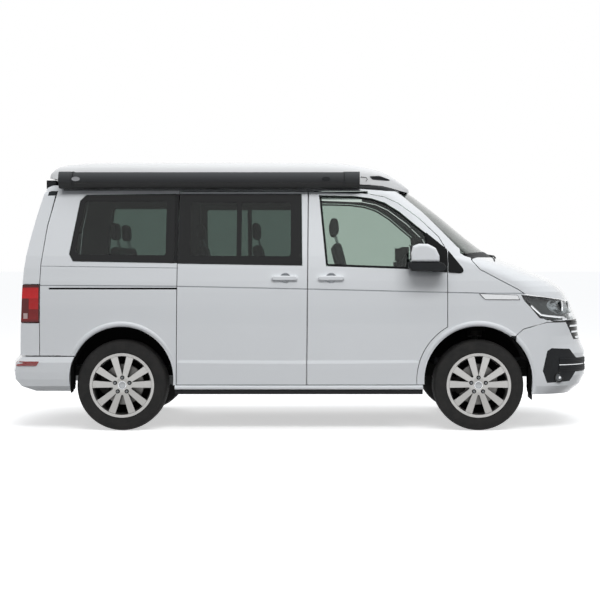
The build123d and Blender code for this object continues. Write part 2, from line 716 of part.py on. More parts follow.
# Underbody: floor, side rails, cross beams and the engine bulkhead
floor_z = 470
floor_top = 500
rail_z = 404
with BuildPart() as underbody:
    add(box(-2230, 1150, -850, 850, floor_z, floor_top))
    add(box(1130, 1150, -850, 850, floor_top, 1300))
    for side in (-1, 1):
        add(box(-2230, 2240, side * 410 - 30, side * 410 + 30, rail_z, floor_z))
    for beam_x in (-2200, -1100, -300, 700, 2210):
        add(box(beam_x - 40, beam_x + 40, -430, 430, rail_z, floor_z))
    for arch in (front_arch, rear_arch):
        for y_low, y_high in ((-1000, -arch["inner_y"] + 10), (arch["inner_y"] - 10, 1000)):
            add(arch_cut(arch, y_low, y_high, 12), mode=Mode.SUBTRACT)

# Sockets for the towing eyes, on the foremost and rearmost cross beams
with BuildPart() as towing_sockets:
    for x_low, x_high, hole_x, side in ((2250, 2330, 2270, -1), (-2330, -2240, -2330, 1)):
        with BuildSketch(Plane.YZ.offset(x_low)):
            with Locations((side * eye_y, eye_z)):
                Circle(22)
        extrude(amount=x_high - x_low)
        with BuildSketch(Plane.YZ.offset(hole_x)):
            with Locations((side * eye_y, eye_z)):
                Circle(eye_radius)
        extrude(amount=60, mode=Mode.SUBTRACT)

# Wheel houses, the front ones with a dome over the strut
dome_radius = 86
liner = 8


def wheel_house(arch, low_z):
    """Curved liner and inner wall over one right-hand wheel."""
    with BuildPart() as solid:
        with BuildSketch(Plane.XZ.offset(arch["inner_y"] - liner)):
            with Locations((arch["x"], arch["z"])):
                Circle(arch["radius"] + liner)
        extrude(amount=850 - arch["inner_y"] + liner)
        with BuildSketch(Plane.XZ.offset(arch["inner_y"])):
            with Locations((arch["x"], arch["z"])):
                Circle(arch["radius"])
        extrude(amount=500, mode=Mode.SUBTRACT)
        add(box(arch["x"] - 600, arch["x"] + 600, -1000, 0, -100, low_z), mode=Mode.SUBTRACT)
    return solid.part


with BuildPart() as wheel_houses:
    add(wheel_house(front_arch, 560))
    add(wheel_house(rear_arch, 514))
    with BuildSketch(Plane.XY.offset(790)):
        with Locations((front_axle_x, -kingpin_top[1])):
            Circle(dome_radius)
    extrude(amount=110)
    with BuildSketch(Plane.XY.offset(780)):
        with Locations((front_axle_x, -kingpin_top[1])):
            Circle(dome_radius - liner)
    extrude(amount=112, mode=Mode.SUBTRACT)
    mirror(about=Plane.XZ)

# Steering axis and knuckles; the strut and its spring turn with the knuckle
def kingpin_plane(distance):
    """Plane across the right-hand steering axis at a distance up from the lower ball joint."""
    low = Vector(kingpin_low[0], -kingpin_low[1], kingpin_low[2])
    top = Vector(kingpin_top[0], -kingpin_top[1], kingpin_top[2])
    direction = (top - low).normalized()
    return Plane(origin=low + direction * distance, z_dir=direction)


pin_radius = 25
pin_play = 0.05
ball_radius = 9
disc_out = -20
disc_in = -45
disc_radius = 165


def knuckle_side(y):
    """Width position of a plane this far outboard of the wheel's centre plane."""
    return -(wheel_y + y)


with BuildPart() as knuckle_right:
    with BuildSketch(Plane.XZ.offset(-knuckle_side(-82))):
        with Locations((front_axle_x, axle_z)):
            Circle(62)
    extrude(amount=30)
    with BuildSketch(Plane.XZ.offset(-knuckle_side(-60))):
        with Locations((front_axle_x, axle_z)):
            Circle(pin_radius)
    extrude(amount=68)
    add(box(front_axle_x - 30, front_axle_x + 30, knuckle_side(-52), knuckle_side(-90), 243, 480))
    add(box(front_axle_x - 30, front_axle_x + 30, knuckle_side(-60), -660, 440, 500))
    with BuildSketch(kingpin_plane(225)):
        Circle(26)
    extrude(amount=390)
    with BuildSketch(kingpin_plane(530)):
        Circle(58)
    extrude(amount=90)
    with BuildSketch(kingpin_plane(0)):
        Circle(ball_radius + pin_play)
    extrude(amount=60, mode=Mode.SUBTRACT)
    add(box(front_axle_x - 190, front_axle_x - 20, knuckle_side(-54), knuckle_side(-74), axle_z - 30, axle_z + 30))
    add(box(front_axle_x - 206, front_axle_x - 110, knuckle_side(6), knuckle_side(-72), axle_z - 60, axle_z + 60))
    with BuildSketch(Plane.XZ.offset(-knuckle_side(disc_in - 6))):
        with Locations((front_axle_x, axle_z)):
            Circle(disc_radius + 7)
    extrude(amount=disc_out - disc_in + 12, mode=Mode.SUBTRACT)
    with BuildSketch(Plane.XZ.offset(-knuckle_side(-60))):
        with Locations((front_axle_x, axle_z)):
            Circle(pin_radius)
    extrude(amount=68)
with BuildPart() as knuckle_left:
    add(mirrored(knuckle_right.part))

# Axles: front subframe with a wishbone to each lower ball joint, and rear cross tube
# with trailing arms and a spindle for each wheel
with BuildPart() as axles:
    add(box(front_axle_x - 150, front_axle_x + 150, -440, 50, 200, 290))
    with BuildSketch(Plane.XY.offset(205)):
        with BuildLine():
            Polyline((front_axle_x + 18, -752), (front_axle_x + 130, -430), (front_axle_x - 130, -430),
                     (front_axle_x - 18, -752), close=True)
        make_face()
    extrude(amount=30)
    for leg_x in (front_axle_x - 120, front_axle_x + 120):
        add(box(leg_x - 25, leg_x + 25, -435, -385, 280, rail_z))
    with BuildSketch(kingpin_plane(0)):
        Circle(ball_radius)
    extrude(amount=54)
    with BuildSketch(Plane.XZ):
        with Locations((rear_axle_x, axle_z)):
            Circle(38)
    extrude(amount=wheel_y - 60)
    with BuildSketch(Plane.XZ.offset(wheel_y - 82)):
        with Locations((rear_axle_x, axle_z)):
            Circle(62)
    extrude(amount=30)
    with BuildSketch(Plane.XZ.offset(wheel_y - 60)):
        with Locations((rear_axle_x, axle_z)):
            Circle(pin_radius)
    extrude(amount=68)
    add(box(rear_axle_x, rear_axle_x + 480, -560, -500, 340, rail_z))
    add(box(rear_axle_x + 420, rear_axle_x + 480, -560, -380, 340, rail_z))
    mirror(about=Plane.XZ)

# Wheels
wheels = (
    ("front_right", front_axle_x, -1), ("front_left", front_axle_x, 1),
    ("rear_right", rear_axle_x, -1), ("rear_left", rear_axle_x, 1),
)
rim_radius = 245
lip_radius = 258
spoke_pairs = 5
spoke_half_angle = 15.7
spoke_width_hub = 38
spoke_width_rim = 58
tyre_facets = 72
# Columns: distance from the tyre's middle, radius
tyre_section = (
    (-98, 252), (-112.5, 292), (-110, 336), (-96, 355), (-72, tyre_radius),
    (72, tyre_radius), (96, 355), (110, 336), (112.5, 292), (98, 252),
)
with BuildPart() as tyre_form:
    for across, radius in tyre_section:
        with BuildSketch(Plane.XZ.offset(-across)):
            RegularPolygon(radius, tyre_facets)
    loft(ruled=True)
    with BuildSketch(Plane.XZ.offset(-120)):
        RegularPolygon(bead_radius, tyre_facets, major_radius=False)
    extrude(amount=240, mode=Mode.SUBTRACT)

# The rim faces -Y: dished face cut to five pairs of spokes, barrel with its lip, hub and brake disc
with BuildPart() as rim_form:
    with BuildSketch(Plane.XZ.offset(60)):
        Circle(78)
        for pair in range(spoke_pairs):
            for half_angle in (-spoke_half_angle, spoke_half_angle):
                heading = math.radians(90 + 72 * pair + half_angle)
                along = Vector(math.cos(heading), math.sin(heading))
                across = Vector(-math.sin(heading), math.cos(heading))
                with BuildLine():
                    Polyline(
                        along * 40 + across * spoke_width_hub / 2, along * 238 + across * spoke_width_rim / 2,
                        along * 238 - across * spoke_width_rim / 2, along * 40 - across * spoke_width_hub / 2,
                        close=True,
                    )
                make_face()
    extrude(amount=60)
    with BuildSketch(Plane.YZ):
        with BuildLine():
            Polyline((-62, 0), (-62, 60), (-80, 240), (-106, 240), (-86, 60), (-88, 30), (-88, 0), close=True)
        make_face()
    revolve(axis=Axis.Y, mode=Mode.INTERSECT)
    with BuildSketch(Plane.YZ):
        with BuildLine():
            Polyline(
                (-111, 236), (-111, lip_radius), (-108.5, lip_radius), (-106, rim_radius), (96, rim_radius),
                (96, 225), (-90, 225), close=True,
            )
        make_face()
        with BuildLine():
            Polyline((-70, 0), (-70, 62), (-disc_out, 62), (-disc_out, disc_radius), (-disc_in, disc_radius),
                     (-disc_in, 0), close=True)
        make_face()
    revolve(axis=Axis.Y)
    with BuildSketch(Plane.XZ.offset(disc_in)):
        Circle(pin_radius + pin_play)
    extrude(amount=60, mode=Mode.SUBTRACT)
for name, axle_x, side in wheels:
    place = Pos(axle_x, side * wheel_y, axle_z)
    turn = Rot(0, 0, 0) if side < 0 else Rot(0, 0, 180)
    save(place * turn * tyre_form.part, "tyre_" + name)
    save(place * turn * rim_form.part, "rim_" + name)

# Engine, a plain block at its place across the front
with BuildPart() as engine_block:
    add(box(1190, 1620, -330, 330, 478, 1010))

# Dashboard and steering wheel, on the left-hand side
with BuildPart() as dashboard:
    add(side_prism(
        ((1126, 760), (1126, 1300), (1090, 1312), (960, 1290), (930, 1230), (980, 1120), (1010, 960), (1040, 760)),
        -840, 840))
    add(box(985, 1040, -170, 170, 640, 1140))
steering_wheel_centre = (905, 400, 1330)
steering_plane = Plane(origin=steering_wheel_centre, z_dir=(-0.83, 0, 0.56))
with BuildPart() as steering_wheel:
    with BuildSketch(steering_plane.offset(-14)):
        RegularPolygon(200, 32)
        RegularPolygon(172, 32, mode=Mode.SUBTRACT)
    extrude(amount=28)
    chamfer(steering_wheel.edges().filter_by(GeomType.LINE).filter_by(
        lambda edge: abs(edge.tangent_at(0).dot(steering_plane.z_dir)) < 0.1), 8)
    with BuildSketch(steering_plane.offset(-14)):
        Circle(60)
        Rectangle(24, 366)
        with Locations((92, 0)):
            Rectangle(184, 24)
    extrude(amount=18)
    with BuildSketch(steering_plane.offset(-14)):
        Circle(28)
    extrude(amount=-40)

# Seats: two in front, two single ones behind them, and the bench
seat_back_angle = 15


def seat(x, y, width, base_top, headrest_top, heads=(0,)):
    """Seat facing forwards: base, cushion, leaning back and headrests, joined."""
    with BuildPart() as solid:
        add(box(x - 200, x + 210, y - width / 2 + 40, y + width / 2 - 40, floor_top, base_top))
        with BuildSketch(Plane.XZ.offset(-y - width / 2)) as cushion:
            with BuildLine():
                Polyline((x - 260, base_top), (x + 260, base_top), (x + 270, base_top + 130),
                         (x - 240, base_top + 110), close=True)
            make_face()
            fillet(cushion.vertices(), 30)
        extrude(amount=width)
        lean = math.tan(math.radians(seat_back_angle))
        back_top = headrest_top - 190
        with BuildSketch(Plane.XZ.offset(-y - width / 2)) as back:
            with BuildLine():
                rise = back_top - base_top
                Polyline((x - 260, base_top + 20), (x - 140, base_top + 20), (x - 160 - rise * lean, back_top),
                         (x - 250 - rise * lean, back_top), close=True)
            make_face()
            fillet(back.vertices(), 28)
        extrude(amount=width)
        top_x = x - 205 - rise * lean
        for head_y in heads:
            middle_y = y + head_y
            add(box(top_x - 12, top_x + 12, middle_y - 60, middle_y + 60, back_top - 40, headrest_top - 120))
            with BuildSketch(Plane.XZ.offset(-middle_y - 130)) as rest:
                with Locations((top_x, headrest_top - 85)):
                    Rectangle(90, 170)
                fillet(rest.vertices(), 28)
            extrude(amount=260)
    return solid.part


with BuildPart() as seats:
    add(seat(700, -400, 500, 800, 1730))
    add(seat(700, 400, 500, 800, 1730))
    add(seat(40, -420, 480, 800, 1692))
    add(seat(-480, 330, 480, 800, 1700))
    add(seat(-1152, 0, 1200, 800, 1692, heads=(-330, 330)))

# Write the remaining pieces
pieces = {
    "roof_panel": roof_panel, "pillars": pillars, "quarter_panel_right": quarter_panel_right,
    "side_panel_left": side_panel_left, "front_wings": front_wings, "front_bumper": front_bumper,
    "lower_trims": lower_trims, "front_grille": front_grille, "headlamps": headlamps,
    "headlamp_covers": headlamp_covers,
    "windscreen": windscreen, "cowl_panel": cowl_panel, "sliding_door": sliding_door,
    "side_glass": side_glass, "tail_lamps": tail_lamps, "rear_bumper": rear_bumper,
    "awning_case": awning_case, "roof_trims": roof_trims, "underbody": underbody,
    "towing_sockets": towing_sockets, "wheel_houses": wheel_houses, "engine_block": engine_block,
    "dashboard": dashboard, "steering_wheel": steering_wheel, "seats": seats, "axles": axles,
    "front_door_right": front_door_right, "front_door_left": front_door_left,
    "door_glass_right": door_glass_right, "door_glass_left": door_glass_left, "bonnet": bonnet,
    "tailgate": tailgate, "tailgate_glass": tailgate_glass, "pop_roof": pop_roof,
    "roof_bellows": roof_bellows, "knuckle_right": knuckle_right, "knuckle_left": knuckle_left,
}
for name, piece in pieces.items():
    save(piece.part, name)
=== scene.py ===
import math
from functools import partial, reduce

import bpy
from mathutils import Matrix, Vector


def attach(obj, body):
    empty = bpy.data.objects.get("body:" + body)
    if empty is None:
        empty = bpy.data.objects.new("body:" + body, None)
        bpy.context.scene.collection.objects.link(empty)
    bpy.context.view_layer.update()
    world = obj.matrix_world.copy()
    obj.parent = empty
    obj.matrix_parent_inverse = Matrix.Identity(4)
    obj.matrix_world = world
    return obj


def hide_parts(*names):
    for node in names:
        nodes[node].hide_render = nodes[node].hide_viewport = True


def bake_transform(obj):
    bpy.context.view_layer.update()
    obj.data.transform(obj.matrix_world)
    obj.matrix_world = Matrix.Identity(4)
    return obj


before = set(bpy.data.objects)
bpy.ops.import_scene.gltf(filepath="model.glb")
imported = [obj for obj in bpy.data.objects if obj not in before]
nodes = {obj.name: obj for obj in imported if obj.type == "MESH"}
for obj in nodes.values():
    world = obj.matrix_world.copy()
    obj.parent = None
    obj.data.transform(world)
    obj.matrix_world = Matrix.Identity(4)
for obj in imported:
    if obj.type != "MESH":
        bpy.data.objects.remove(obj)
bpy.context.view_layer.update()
bpy.ops.object.select_all(action="DESELECT")
print("frame loaded,", len(nodes), "nodes")


def hexLinear(code):
    # sRGB hex to the linear colour that a socket takes
    channels = [int(code[i:i + 2], 16) / 255 for i in (1, 3, 5)]
    linear = [c / 12.92 if c <= 0.04045 else ((c + 0.055) / 1.055) ** 2.4 for c in channels]
    return (*linear, 1.0)


def addNode(tree, kind, inputs=None, **settings):
    # one shader node; an input is a value, or a socket to link from
    node = tree.nodes.new("ShaderNode" + kind)
    for name, value in settings.items():
        setattr(node, name, value)
    for key, value in (inputs or {}).items():
        if isinstance(value, bpy.types.NodeSocket):
            tree.links.new(value, node.inputs[key])
        else:
            node.inputs[key].default_value = value
    return node


def newMaterial(name, shader, **look):
    # shader is one of the surface functions below; it gets the tree and the place on the object
    material = bpy.data.materials.new(name)
    material.use_nodes = True
    tree = material.node_tree
    tree.nodes.clear()
    place = addNode(tree, "TexCoord").outputs["Object"]
    addNode(tree, "OutputMaterial", {"Surface": shader(tree, place, **look)})
    return material


def ramp(tree, value, stops):
    node = addNode(tree, "ValToRGB", {"Fac": value})
    elements = node.color_ramp.elements
    while len(elements) < len(stops):
        elements.new(0.5)
    for element, (position, code) in zip(elements, stops):
        element.position = position
        element.color = hexLinear(code) if isinstance(code, str) else (code, code, code, 1.0)
    return node.outputs["Color"]


def maths(operation, tree, *values):
    return addNode(tree, "Math", dict(enumerate(values)), operation=operation).outputs[0]


over, under, absolute = (partial(maths, operation) for operation in ("GREATER_THAN", "LESS_THAN", "ABSOLUTE"))


def product(tree, *values):
    # of masks, it is 1 where all of them give 1
    return reduce(partial(maths, "MULTIPLY", tree), values)


def either(tree, *masks):
    # 1 where any of the masks gives 1
    return reduce(partial(maths, "MAXIMUM", tree), masks)


def between(tree, value, low, high):
    # 1 inside the two limits, 0 outside
    return product(tree, over(tree, value, low), under(tree, value, high))


def axes(tree, place, which="XYZ"):
    outputs = addNode(tree, "SeparateXYZ", {0: place}).outputs
    return [outputs[axis] for axis in which]


def shareOf(tree, value, low, high):
    # how far the value has come from low to high, 0 to 1
    return addNode(tree, "MapRange", {"Value": value, "From Min": low, "From Max": high}).outputs[0]


def varied(tree, value, low, high):
    # a value of 0 to 1 taken to low to high
    return addNode(tree, "MapRange", {"Value": value, "To Min": low, "To Max": high}).outputs[0]


def curve(tree, value, stops, low, high, top):
    # height along a broken line; the ramp takes and gives shares of 1
    shares = [((place - low) / (high - low), height / top) for place, height in stops]
    return product(tree, ramp(tree, shareOf(tree, value, low, high), shares), top)


def within(tree, spot, middle, radius):
    # 1 near a middle; spot holds the sockets to measure with, by axis number
    place = addNode(tree, "CombineXYZ", spot).outputs[0]
    reach = addNode(tree, "VectorMath", {0: place, 1: middle}, operation="DISTANCE").outputs["Value"]
    return under(tree, reach, radius)


def mixed(tree, share, first, second):
    colours = {6: hexLinear(first) if isinstance(first, str) else first, 7: hexLinear(second)}
    return addNode(tree, "Mix", {0: share, **colours}, data_type="RGBA").outputs[2]


def noise(tree, place, scale, detail=2.0):
    return addNode(tree, "TexNoise", {"Vector": place, "Scale": scale, "Detail": detail}).outputs["Fac"]


def bumped(tree, height, strength, distance=0.001):
    return addNode(tree, "Bump", {"Height": height, "Strength": strength, "Distance": distance}).outputs[0]


def principled(tree, inputs):
    return addNode(tree, "BsdfPrincipled", inputs).outputs[0]


stageSettings = {
    "cameraPlace": (0.157, -11.925, 1.344),
    "lens": 82.5,
    "sensor": 36.0,
    "shift": (-0.03, -0.0617),      # the lens axis meets the frame a little right of and above its middle
    "floorSide": 400.0,
    "floorGlow": 0.55,
    "worldLight": 0.60,
}
softboxes = {
    # name: place, target, size, watts
    "overheadSoftbox": ((0, -1.0, 7.5), (0, 0, 1), (9.0, 6.0), 150),
    "sideSoftbox": ((1.5, -8.0, 7.5), (0, 0, 1), (7.0, 3.0), 480),
    "farSoftbox": ((-2.0, 9.0, 5.0), (0, 0, 1), (6.0, 3.0), 260),
}


def makeCamera(s):
    data = bpy.data.cameras.new("camera")
    data.lens = s["lens"]
    data.sensor_width = s["sensor"]
    data.shift_x, data.shift_y = s["shift"]
    camera = bpy.data.objects.new("camera", data)
    camera.location = s["cameraPlace"]
    camera.rotation_euler = (math.radians(90), 0, 0)
    bpy.context.scene.collection.objects.link(camera)
    bpy.context.scene.camera = camera
    bpy.context.scene.view_settings.view_transform = "Standard"


def seenDirectly(tree):
    # 1 for camera, glossy and transmission rays, 0 for light bouncing off
    path = addNode(tree, "LightPath").outputs
    return either(tree, *(path["Is " + kind + " Ray"] for kind in ("Camera", "Glossy", "Transmission")))


def makeWorld(s):
    world = bpy.data.worlds.new("studio")
    bpy.context.scene.world = world
    world.use_nodes = True
    tree = world.node_tree
    tree.nodes.clear()
    # a ring of pale walls under a greyer ceiling
    [height] = axes(tree, addNode(tree, "TexCoord").outputs["Generated"], "Z")
    sky = ramp(tree, height, [(0.0, "#e3e5e8"), (0.35, "#f1f3f5"), (1.0, "#c9ccd0")])
    lit = addNode(tree, "Background", {"Color": sky, "Strength": s["worldLight"]})
    white = addNode(tree, "Background", {"Color": hexLinear("#ffffff"), "Strength": 1.0})
    mix = addNode(tree, "MixShader", {0: seenDirectly(tree), 1: lit.outputs[0], 2: white.outputs[0]})
    addNode(tree, "OutputWorld", {"Surface": mix.outputs[0]})


def studioFloor(tree, place):
    # pale to the eye, greyer to bounced light, so that the sides darken towards the ground
    seen = seenDirectly(tree)
    diffuse = addNode(tree, "BsdfDiffuse", {"Color": mixed(tree, seen, "#37383a", "#f7f7f7")})
    glow = product(tree, seen, stageSettings["floorGlow"])
    lift = addNode(tree, "Emission", {"Color": hexLinear("#ffffff"), "Strength": glow})
    return addNode(tree, "AddShader", {0: diffuse.outputs[0], 1: lift.outputs[0]}).outputs[0]


def makeFloor(s):
    bpy.ops.mesh.primitive_plane_add(size=s["floorSide"])
    floor = bpy.context.active_object
    floor.name = "studioFloor"
    floor.data.materials.append(newMaterial("painted studio floor", studioFloor))
    floor.select_set(False)


def makeLamp(name, place, target, size, power):
    data = bpy.data.lights.new(name, "AREA")
    data.shape = "RECTANGLE"
    data.size, data.size_y = size
    data.energy = power
    lamp = bpy.data.objects.new(name, data)
    # the lamps light the paint, but their rectangles are kept out of the panes
    lamp.visible_glossy = False
    lamp.visible_transmission = False
    lamp.location = place
    lamp.rotation_euler = (Vector(target) - Vector(place)).to_track_quat("-Z", "Y").to_euler()
    bpy.context.scene.collection.objects.link(lamp)


makeCamera(stageSettings)
makeWorld(stageSettings)
makeFloor(stageSettings)
for name, box in softboxes.items():
    makeLamp(name, *box)
print("stage made")


def enamel(tree, place, code="#e6e9ec", roughness=0.3):
    # solid enamel under clear lacquer: even colour, a thin sharp gloss and a faint orange peel
    peel = bumped(tree, noise(tree, place, 60.0), 0.02, 0.002)      # 15 mm ripples
    drift = varied(tree, noise(tree, place, 1.4, 1.0), 0.985, 1.015)
    shade = addNode(tree, "HueSaturation", {"Color": hexLinear(code), "Value": drift})
    return principled(tree, {
        "Base Color": shade.outputs[0], "Roughness": roughness, "IOR": 1.5,
        "Coat Weight": 1.0, "Coat Roughness": 0.03, "Coat IOR": 1.5, "Normal": peel, "Coat Normal": peel})


def moulded(tree, place, code="#1f2022", roughness=0.55, grain=0.0015, depth=0.15, worn=None, gloss=0.0, level=0.2):
    # moulded thermoplastic or rubber: the tool's eroded grain shows as a fine even stipple, and
    # scatters most of the gloss, which the low specular level stands for
    stipple = noise(tree, place, 1 / grain)
    shade = ramp(tree, noise(tree, place, 9.0, 3.0), [(0.35, code), (0.75, worn or code)])
    return principled(tree, {
        "Base Color": shade, "Roughness": varied(tree, stipple, roughness - 0.06, roughness + 0.06),
        "IOR": 1.5, "Specular IOR Level": level, "Coat Weight": gloss, "Coat Roughness": 0.05,
        "Normal": bumped(tree, stipple, depth)})


def metal(tree, place, code="#b4b6b8", roughness=0.3, grain=0.004, depth=0.05, coat=0.0):
    # the colour is the reflection's, with a fine mottled grain under any lacquer
    mottle = noise(tree, place, 1 / grain, 3.0)
    return principled(tree, {
        "Base Color": hexLinear(code), "Metallic": 1.0, "Coat Weight": coat, "Coat Roughness": 0.05,
        "Roughness": varied(tree, mottle, max(roughness - 0.05, 0.02), roughness + 0.05),
        "Normal": bumped(tree, mottle, depth)})


def glass(tree, place, code="#dbe8e0", faceCode="#ecf3ef"):
    # tinted in the mass; light for the cabin comes straight through, dimmed at both faces
    pane = principled(tree, {
        "Base Color": hexLinear(code), "Roughness": 0.0, "IOR": 1.4, "Transmission Weight": 1.0})
    clear = addNode(tree, "BsdfTransparent", {"Color": hexLinear(faceCode)})
    path = addNode(tree, "LightPath").outputs
    lighting = either(tree, path["Is Shadow Ray"], path["Is Diffuse Ray"])
    return addNode(tree, "MixShader", {0: lighting, 1: pane, 2: clear.outputs[0]}).outputs[0]


def woven(tree, place, code="#3b3d40", dark="#2e3032", thread=0.004, sheen=0.3):
    # plain weave: crossed threads, matt with a soft sheen at grazing angles
    wave = {"Vector": place, "Scale": 0.5 / thread, "Distortion": 1.0}
    weave = product(tree, *(addNode(tree, "TexWave", wave, bands_direction=axis).outputs["Fac"] for axis in "ZY"))
    return principled(tree, {
        "Base Color": ramp(tree, weave, [(0.1, dark), (0.6, code)]), "Roughness": 0.85, "Specular IOR Level": 0.2,
        "Sheen Weight": sheen, "Sheen Roughness": 0.5, "Normal": bumped(tree, weave, 0.35)})


def divided(mask, first, second):
    # one finish, and another where the mask gives 1
    def shader(tree, place):
        shaders = {0: mask(tree, place), 1: first(tree, place), 2: second(tree, place)}
        return addNode(tree, "MixShader", shaders).outputs[0]
    return shader


areas = {
    # limits, in metres, of what has a finish of its own inside one CAD piece
    "insideShell": {"facing": -0.3},
    "mirrorFoot": {"outboard": 0.938, "z": (1.25, 1.353)},
    "tail": {"profile": [(0.6, 2.306), (1.11, 2.294), (1.4, 2.261), (1.55, 2.225), (1.75, 2.171), (1.92, 2.115)],
             "bow": 0.096, "half": 0.80, "depth": 0.035},
    "grilleBars": {"low": (0.735, 0.782, 0.829, 0.884, 0.934, 0.984), "below": 0.0005, "above": 0.0165},
    "noseBlack": {"foot": 2.585, "lean": 0.50, "z": (0.728, 0.885)},
    # the swage line, the seam and the finger dishes mark where shade is painted on the side panels, not a finish of
    # their own
    "swage": {"stops": [(-2.1, 1.1645), (-0.971, 1.1575), (0.069, 1.1355), (1.197, 1.1085), (1.5, 1.1015)],
              "half": 0.0045},
    "seam": {"stops": [(-2.1, 1.3195), (-0.975, 1.3035)], "half": 0.0025, "end": -0.96},
    "fingerDish": {"x": (0.262, -0.104), "z": 1.222, "radius": 0.044, "top": 1.224, "gripFace": 0.951},
    "blackStrip": {"x": (-1.03, -0.93), "z": (1.342, 1.902)},
    "railSlot": {"x": (-2.0, -0.95), "z": (1.130, 1.149), "face": 0.934},
    "wheelFace": {"behind": 0.812},
    "roofEdge": {"stops": [(0.50, 1.943), (0.663, 1.932), (0.81, 1.916), (0.84, 1.909)], "half": 0.66,
                 "x": (0.28, 0.85)},
    "roofRails": {"half": 0.765},
    "lampBowls": {"middles": ((0.815, 0.990), (0.690, 0.985)), "radius": 0.060},
    "floorTop": {"above": 0.4995},
    "awning": {"z": (1.94, 2.09)},
    "tailLens": {"z": (0.868, 1.17), "chamberX": -2.155, "chamberZ": (0.905, 1.06), "edgeX": -2.078,
                 "whiteX": (-2.198, -2.165), "whiteZ": (0.898, 0.942)},
}
lineSpan = (-2.5, 2.5, 2.0)      # what the lines along the side span: rear end, front end, height
tailSpan = (0.0, 2.0, 3.0)       # what the tail's profile spans: foot, top, reach


def insideShell(tree, place):
    # 1 on the inner faces of the side panels, which look across the cabin
    [across] = axes(tree, place, "Y")
    [facing] = axes(tree, addNode(tree, "TexCoord").outputs["Normal"], "Y")
    return under(tree, product(tree, maths("SIGN", tree, across), facing), areas["insideShell"]["facing"])


def mirrorFoot(tree, place):
    # 1 on the lower half of the door mirror and its arm
    s = areas["mirrorFoot"]
    y, z = axes(tree, place, "YZ")
    return product(tree, over(tree, absolute(tree, y), s["outboard"]), between(tree, z, *s["z"]))


def insideTail(tree, place):
    # 1 on the inner face of the tailgate, whose outer face is bowed from side to side
    s = areas["tail"]
    x, y, z = axes(tree, place)
    rear = curve(tree, z, s["profile"], *tailSpan)
    bowed = maths("SUBTRACT", tree, x, product(tree, y, y, s["bow"]))
    return product(tree, over(tree, maths("ADD", tree, bowed, rear), s["depth"]),
                   under(tree, absolute(tree, y), s["half"]))


def grilleBars(tree, place):
    # 1 on the faces of the bars of the middle and upper openings
    s = areas["grilleBars"]
    [z] = axes(tree, place, "Z")
    return either(tree, *(between(tree, z, low - s["below"], low + s["above"]) for low in s["low"]))


def noseBlack(tree, place):
    # 1 on the corners of the nose, where the grille's black surround runs under the headlamps
    s = areas["noseBlack"]
    x, z = axes(tree, place, "XZ")
    slope = maths("SUBTRACT", tree, s["foot"], product(tree, z, s["lean"]))     # leans back as it rises
    return product(tree, over(tree, x, slope), between(tree, z, *s["z"]))


def inLine(tree, x, z, s):
    # 1 along a groove
    gap = maths("SUBTRACT", tree, z, curve(tree, x, s["stops"], *lineSpan))
    return under(tree, absolute(tree, gap), s["half"])


def sideShade(tree, place):
    # 1 in the pressed lines and in the finger dishes behind the grips: painted shade, a darker grey where shadow falls
    # in the grooves and dishes
    s = areas["fingerDish"]
    x, y, z = axes(tree, place)
    seam = product(tree, inLine(tree, x, z, areas["seam"]), under(tree, x, areas["seam"]["end"]))
    dishes = either(tree, *(within(tree, {0: x, 2: z}, (middle, 0.0, s["z"]), s["radius"]) for middle in s["x"]))
    dishes = product(tree, dishes, over(tree, z, s["top"]), under(tree, absolute(tree, y), s["gripFace"]))
    return either(tree, inLine(tree, x, z, areas["swage"]), seam, dishes)


def blackStrip(tree, place):
    # 1 on the window line's black strips either side of the shut line, and in the slider's rail slot
    strip, slot = areas["blackStrip"], areas["railSlot"]
    x, y, z = axes(tree, place)
    strips, slots = (product(tree, between(tree, x, *s["x"]), between(tree, z, *s["z"])) for s in (strip, slot))
    return either(tree, strips, product(tree, slots, under(tree, absolute(tree, y), slot["face"])))


def behindFace(tree, place):
    # 1 on a wheel's barrel and the back of its spokes
    return under(tree, absolute(tree, *axes(tree, place, "Y")), areas["wheelFace"]["behind"])


def roofEdge(tree, place):
    # 1 on the dark moulding along the front shoulders of the roof
    s = areas["roofEdge"]
    x, y, z = axes(tree, place)
    above = over(tree, z, curve(tree, x, s["stops"], 0.0, 1.0, 2.0))
    return product(tree, above, over(tree, absolute(tree, y), s["half"]), between(tree, x, *s["x"]))


def roofRails(tree, place):
    # 1 on the rails along the roof's edges
    return over(tree, absolute(tree, *axes(tree, place, "Y")), areas["roofRails"]["half"])


def lampBowls(tree, place):
    # 1 in the bowl round each projector
    s = areas["lampBowls"]
    y, z = axes(tree, place, "YZ")
    spot = {1: absolute(tree, y), 2: z}
    return either(tree, *(within(tree, spot, (0.0, *middle), s["radius"]) for middle in s["middles"]))


def floorTop(tree, place):
    return over(tree, *axes(tree, place, "Z"), areas["floorTop"]["above"])


charcoal = partial(moulded, code="#1d1e20", worn="#242628")
# grained polypropylene and felt
cabinLining = partial(moulded, code="#2c2f31", worn="#333638", roughness=0.8, grain=0.006, depth=0.1)
tailPanel = divided(insideTail, enamel, cabinLining)
grille = divided(grilleBars, partial(moulded, code="#0b0c0d", roughness=0.2, depth=0.02, gloss=1.0),
                 partial(metal, code="#d4d6d8", roughness=0.12, depth=0.0))
# painted shade: a darker grey enamel in the pressed lines and the finger dishes
shadePaintedEnamel = divided(sideShade, enamel, partial(enamel, code="#a3a7ac"))
sidePanel = divided(blackStrip, shadePaintedEnamel, partial(moulded, code="#18191a", roughness=0.3))
linedPanel = divided(insideShell, sidePanel, cabinLining)
doorPanel = divided(mirrorFoot, linedPanel, charcoal)
wingPanel = divided(noseBlack, shadePaintedEnamel, partial(moulded, code="#0d0e0f", roughness=0.25))
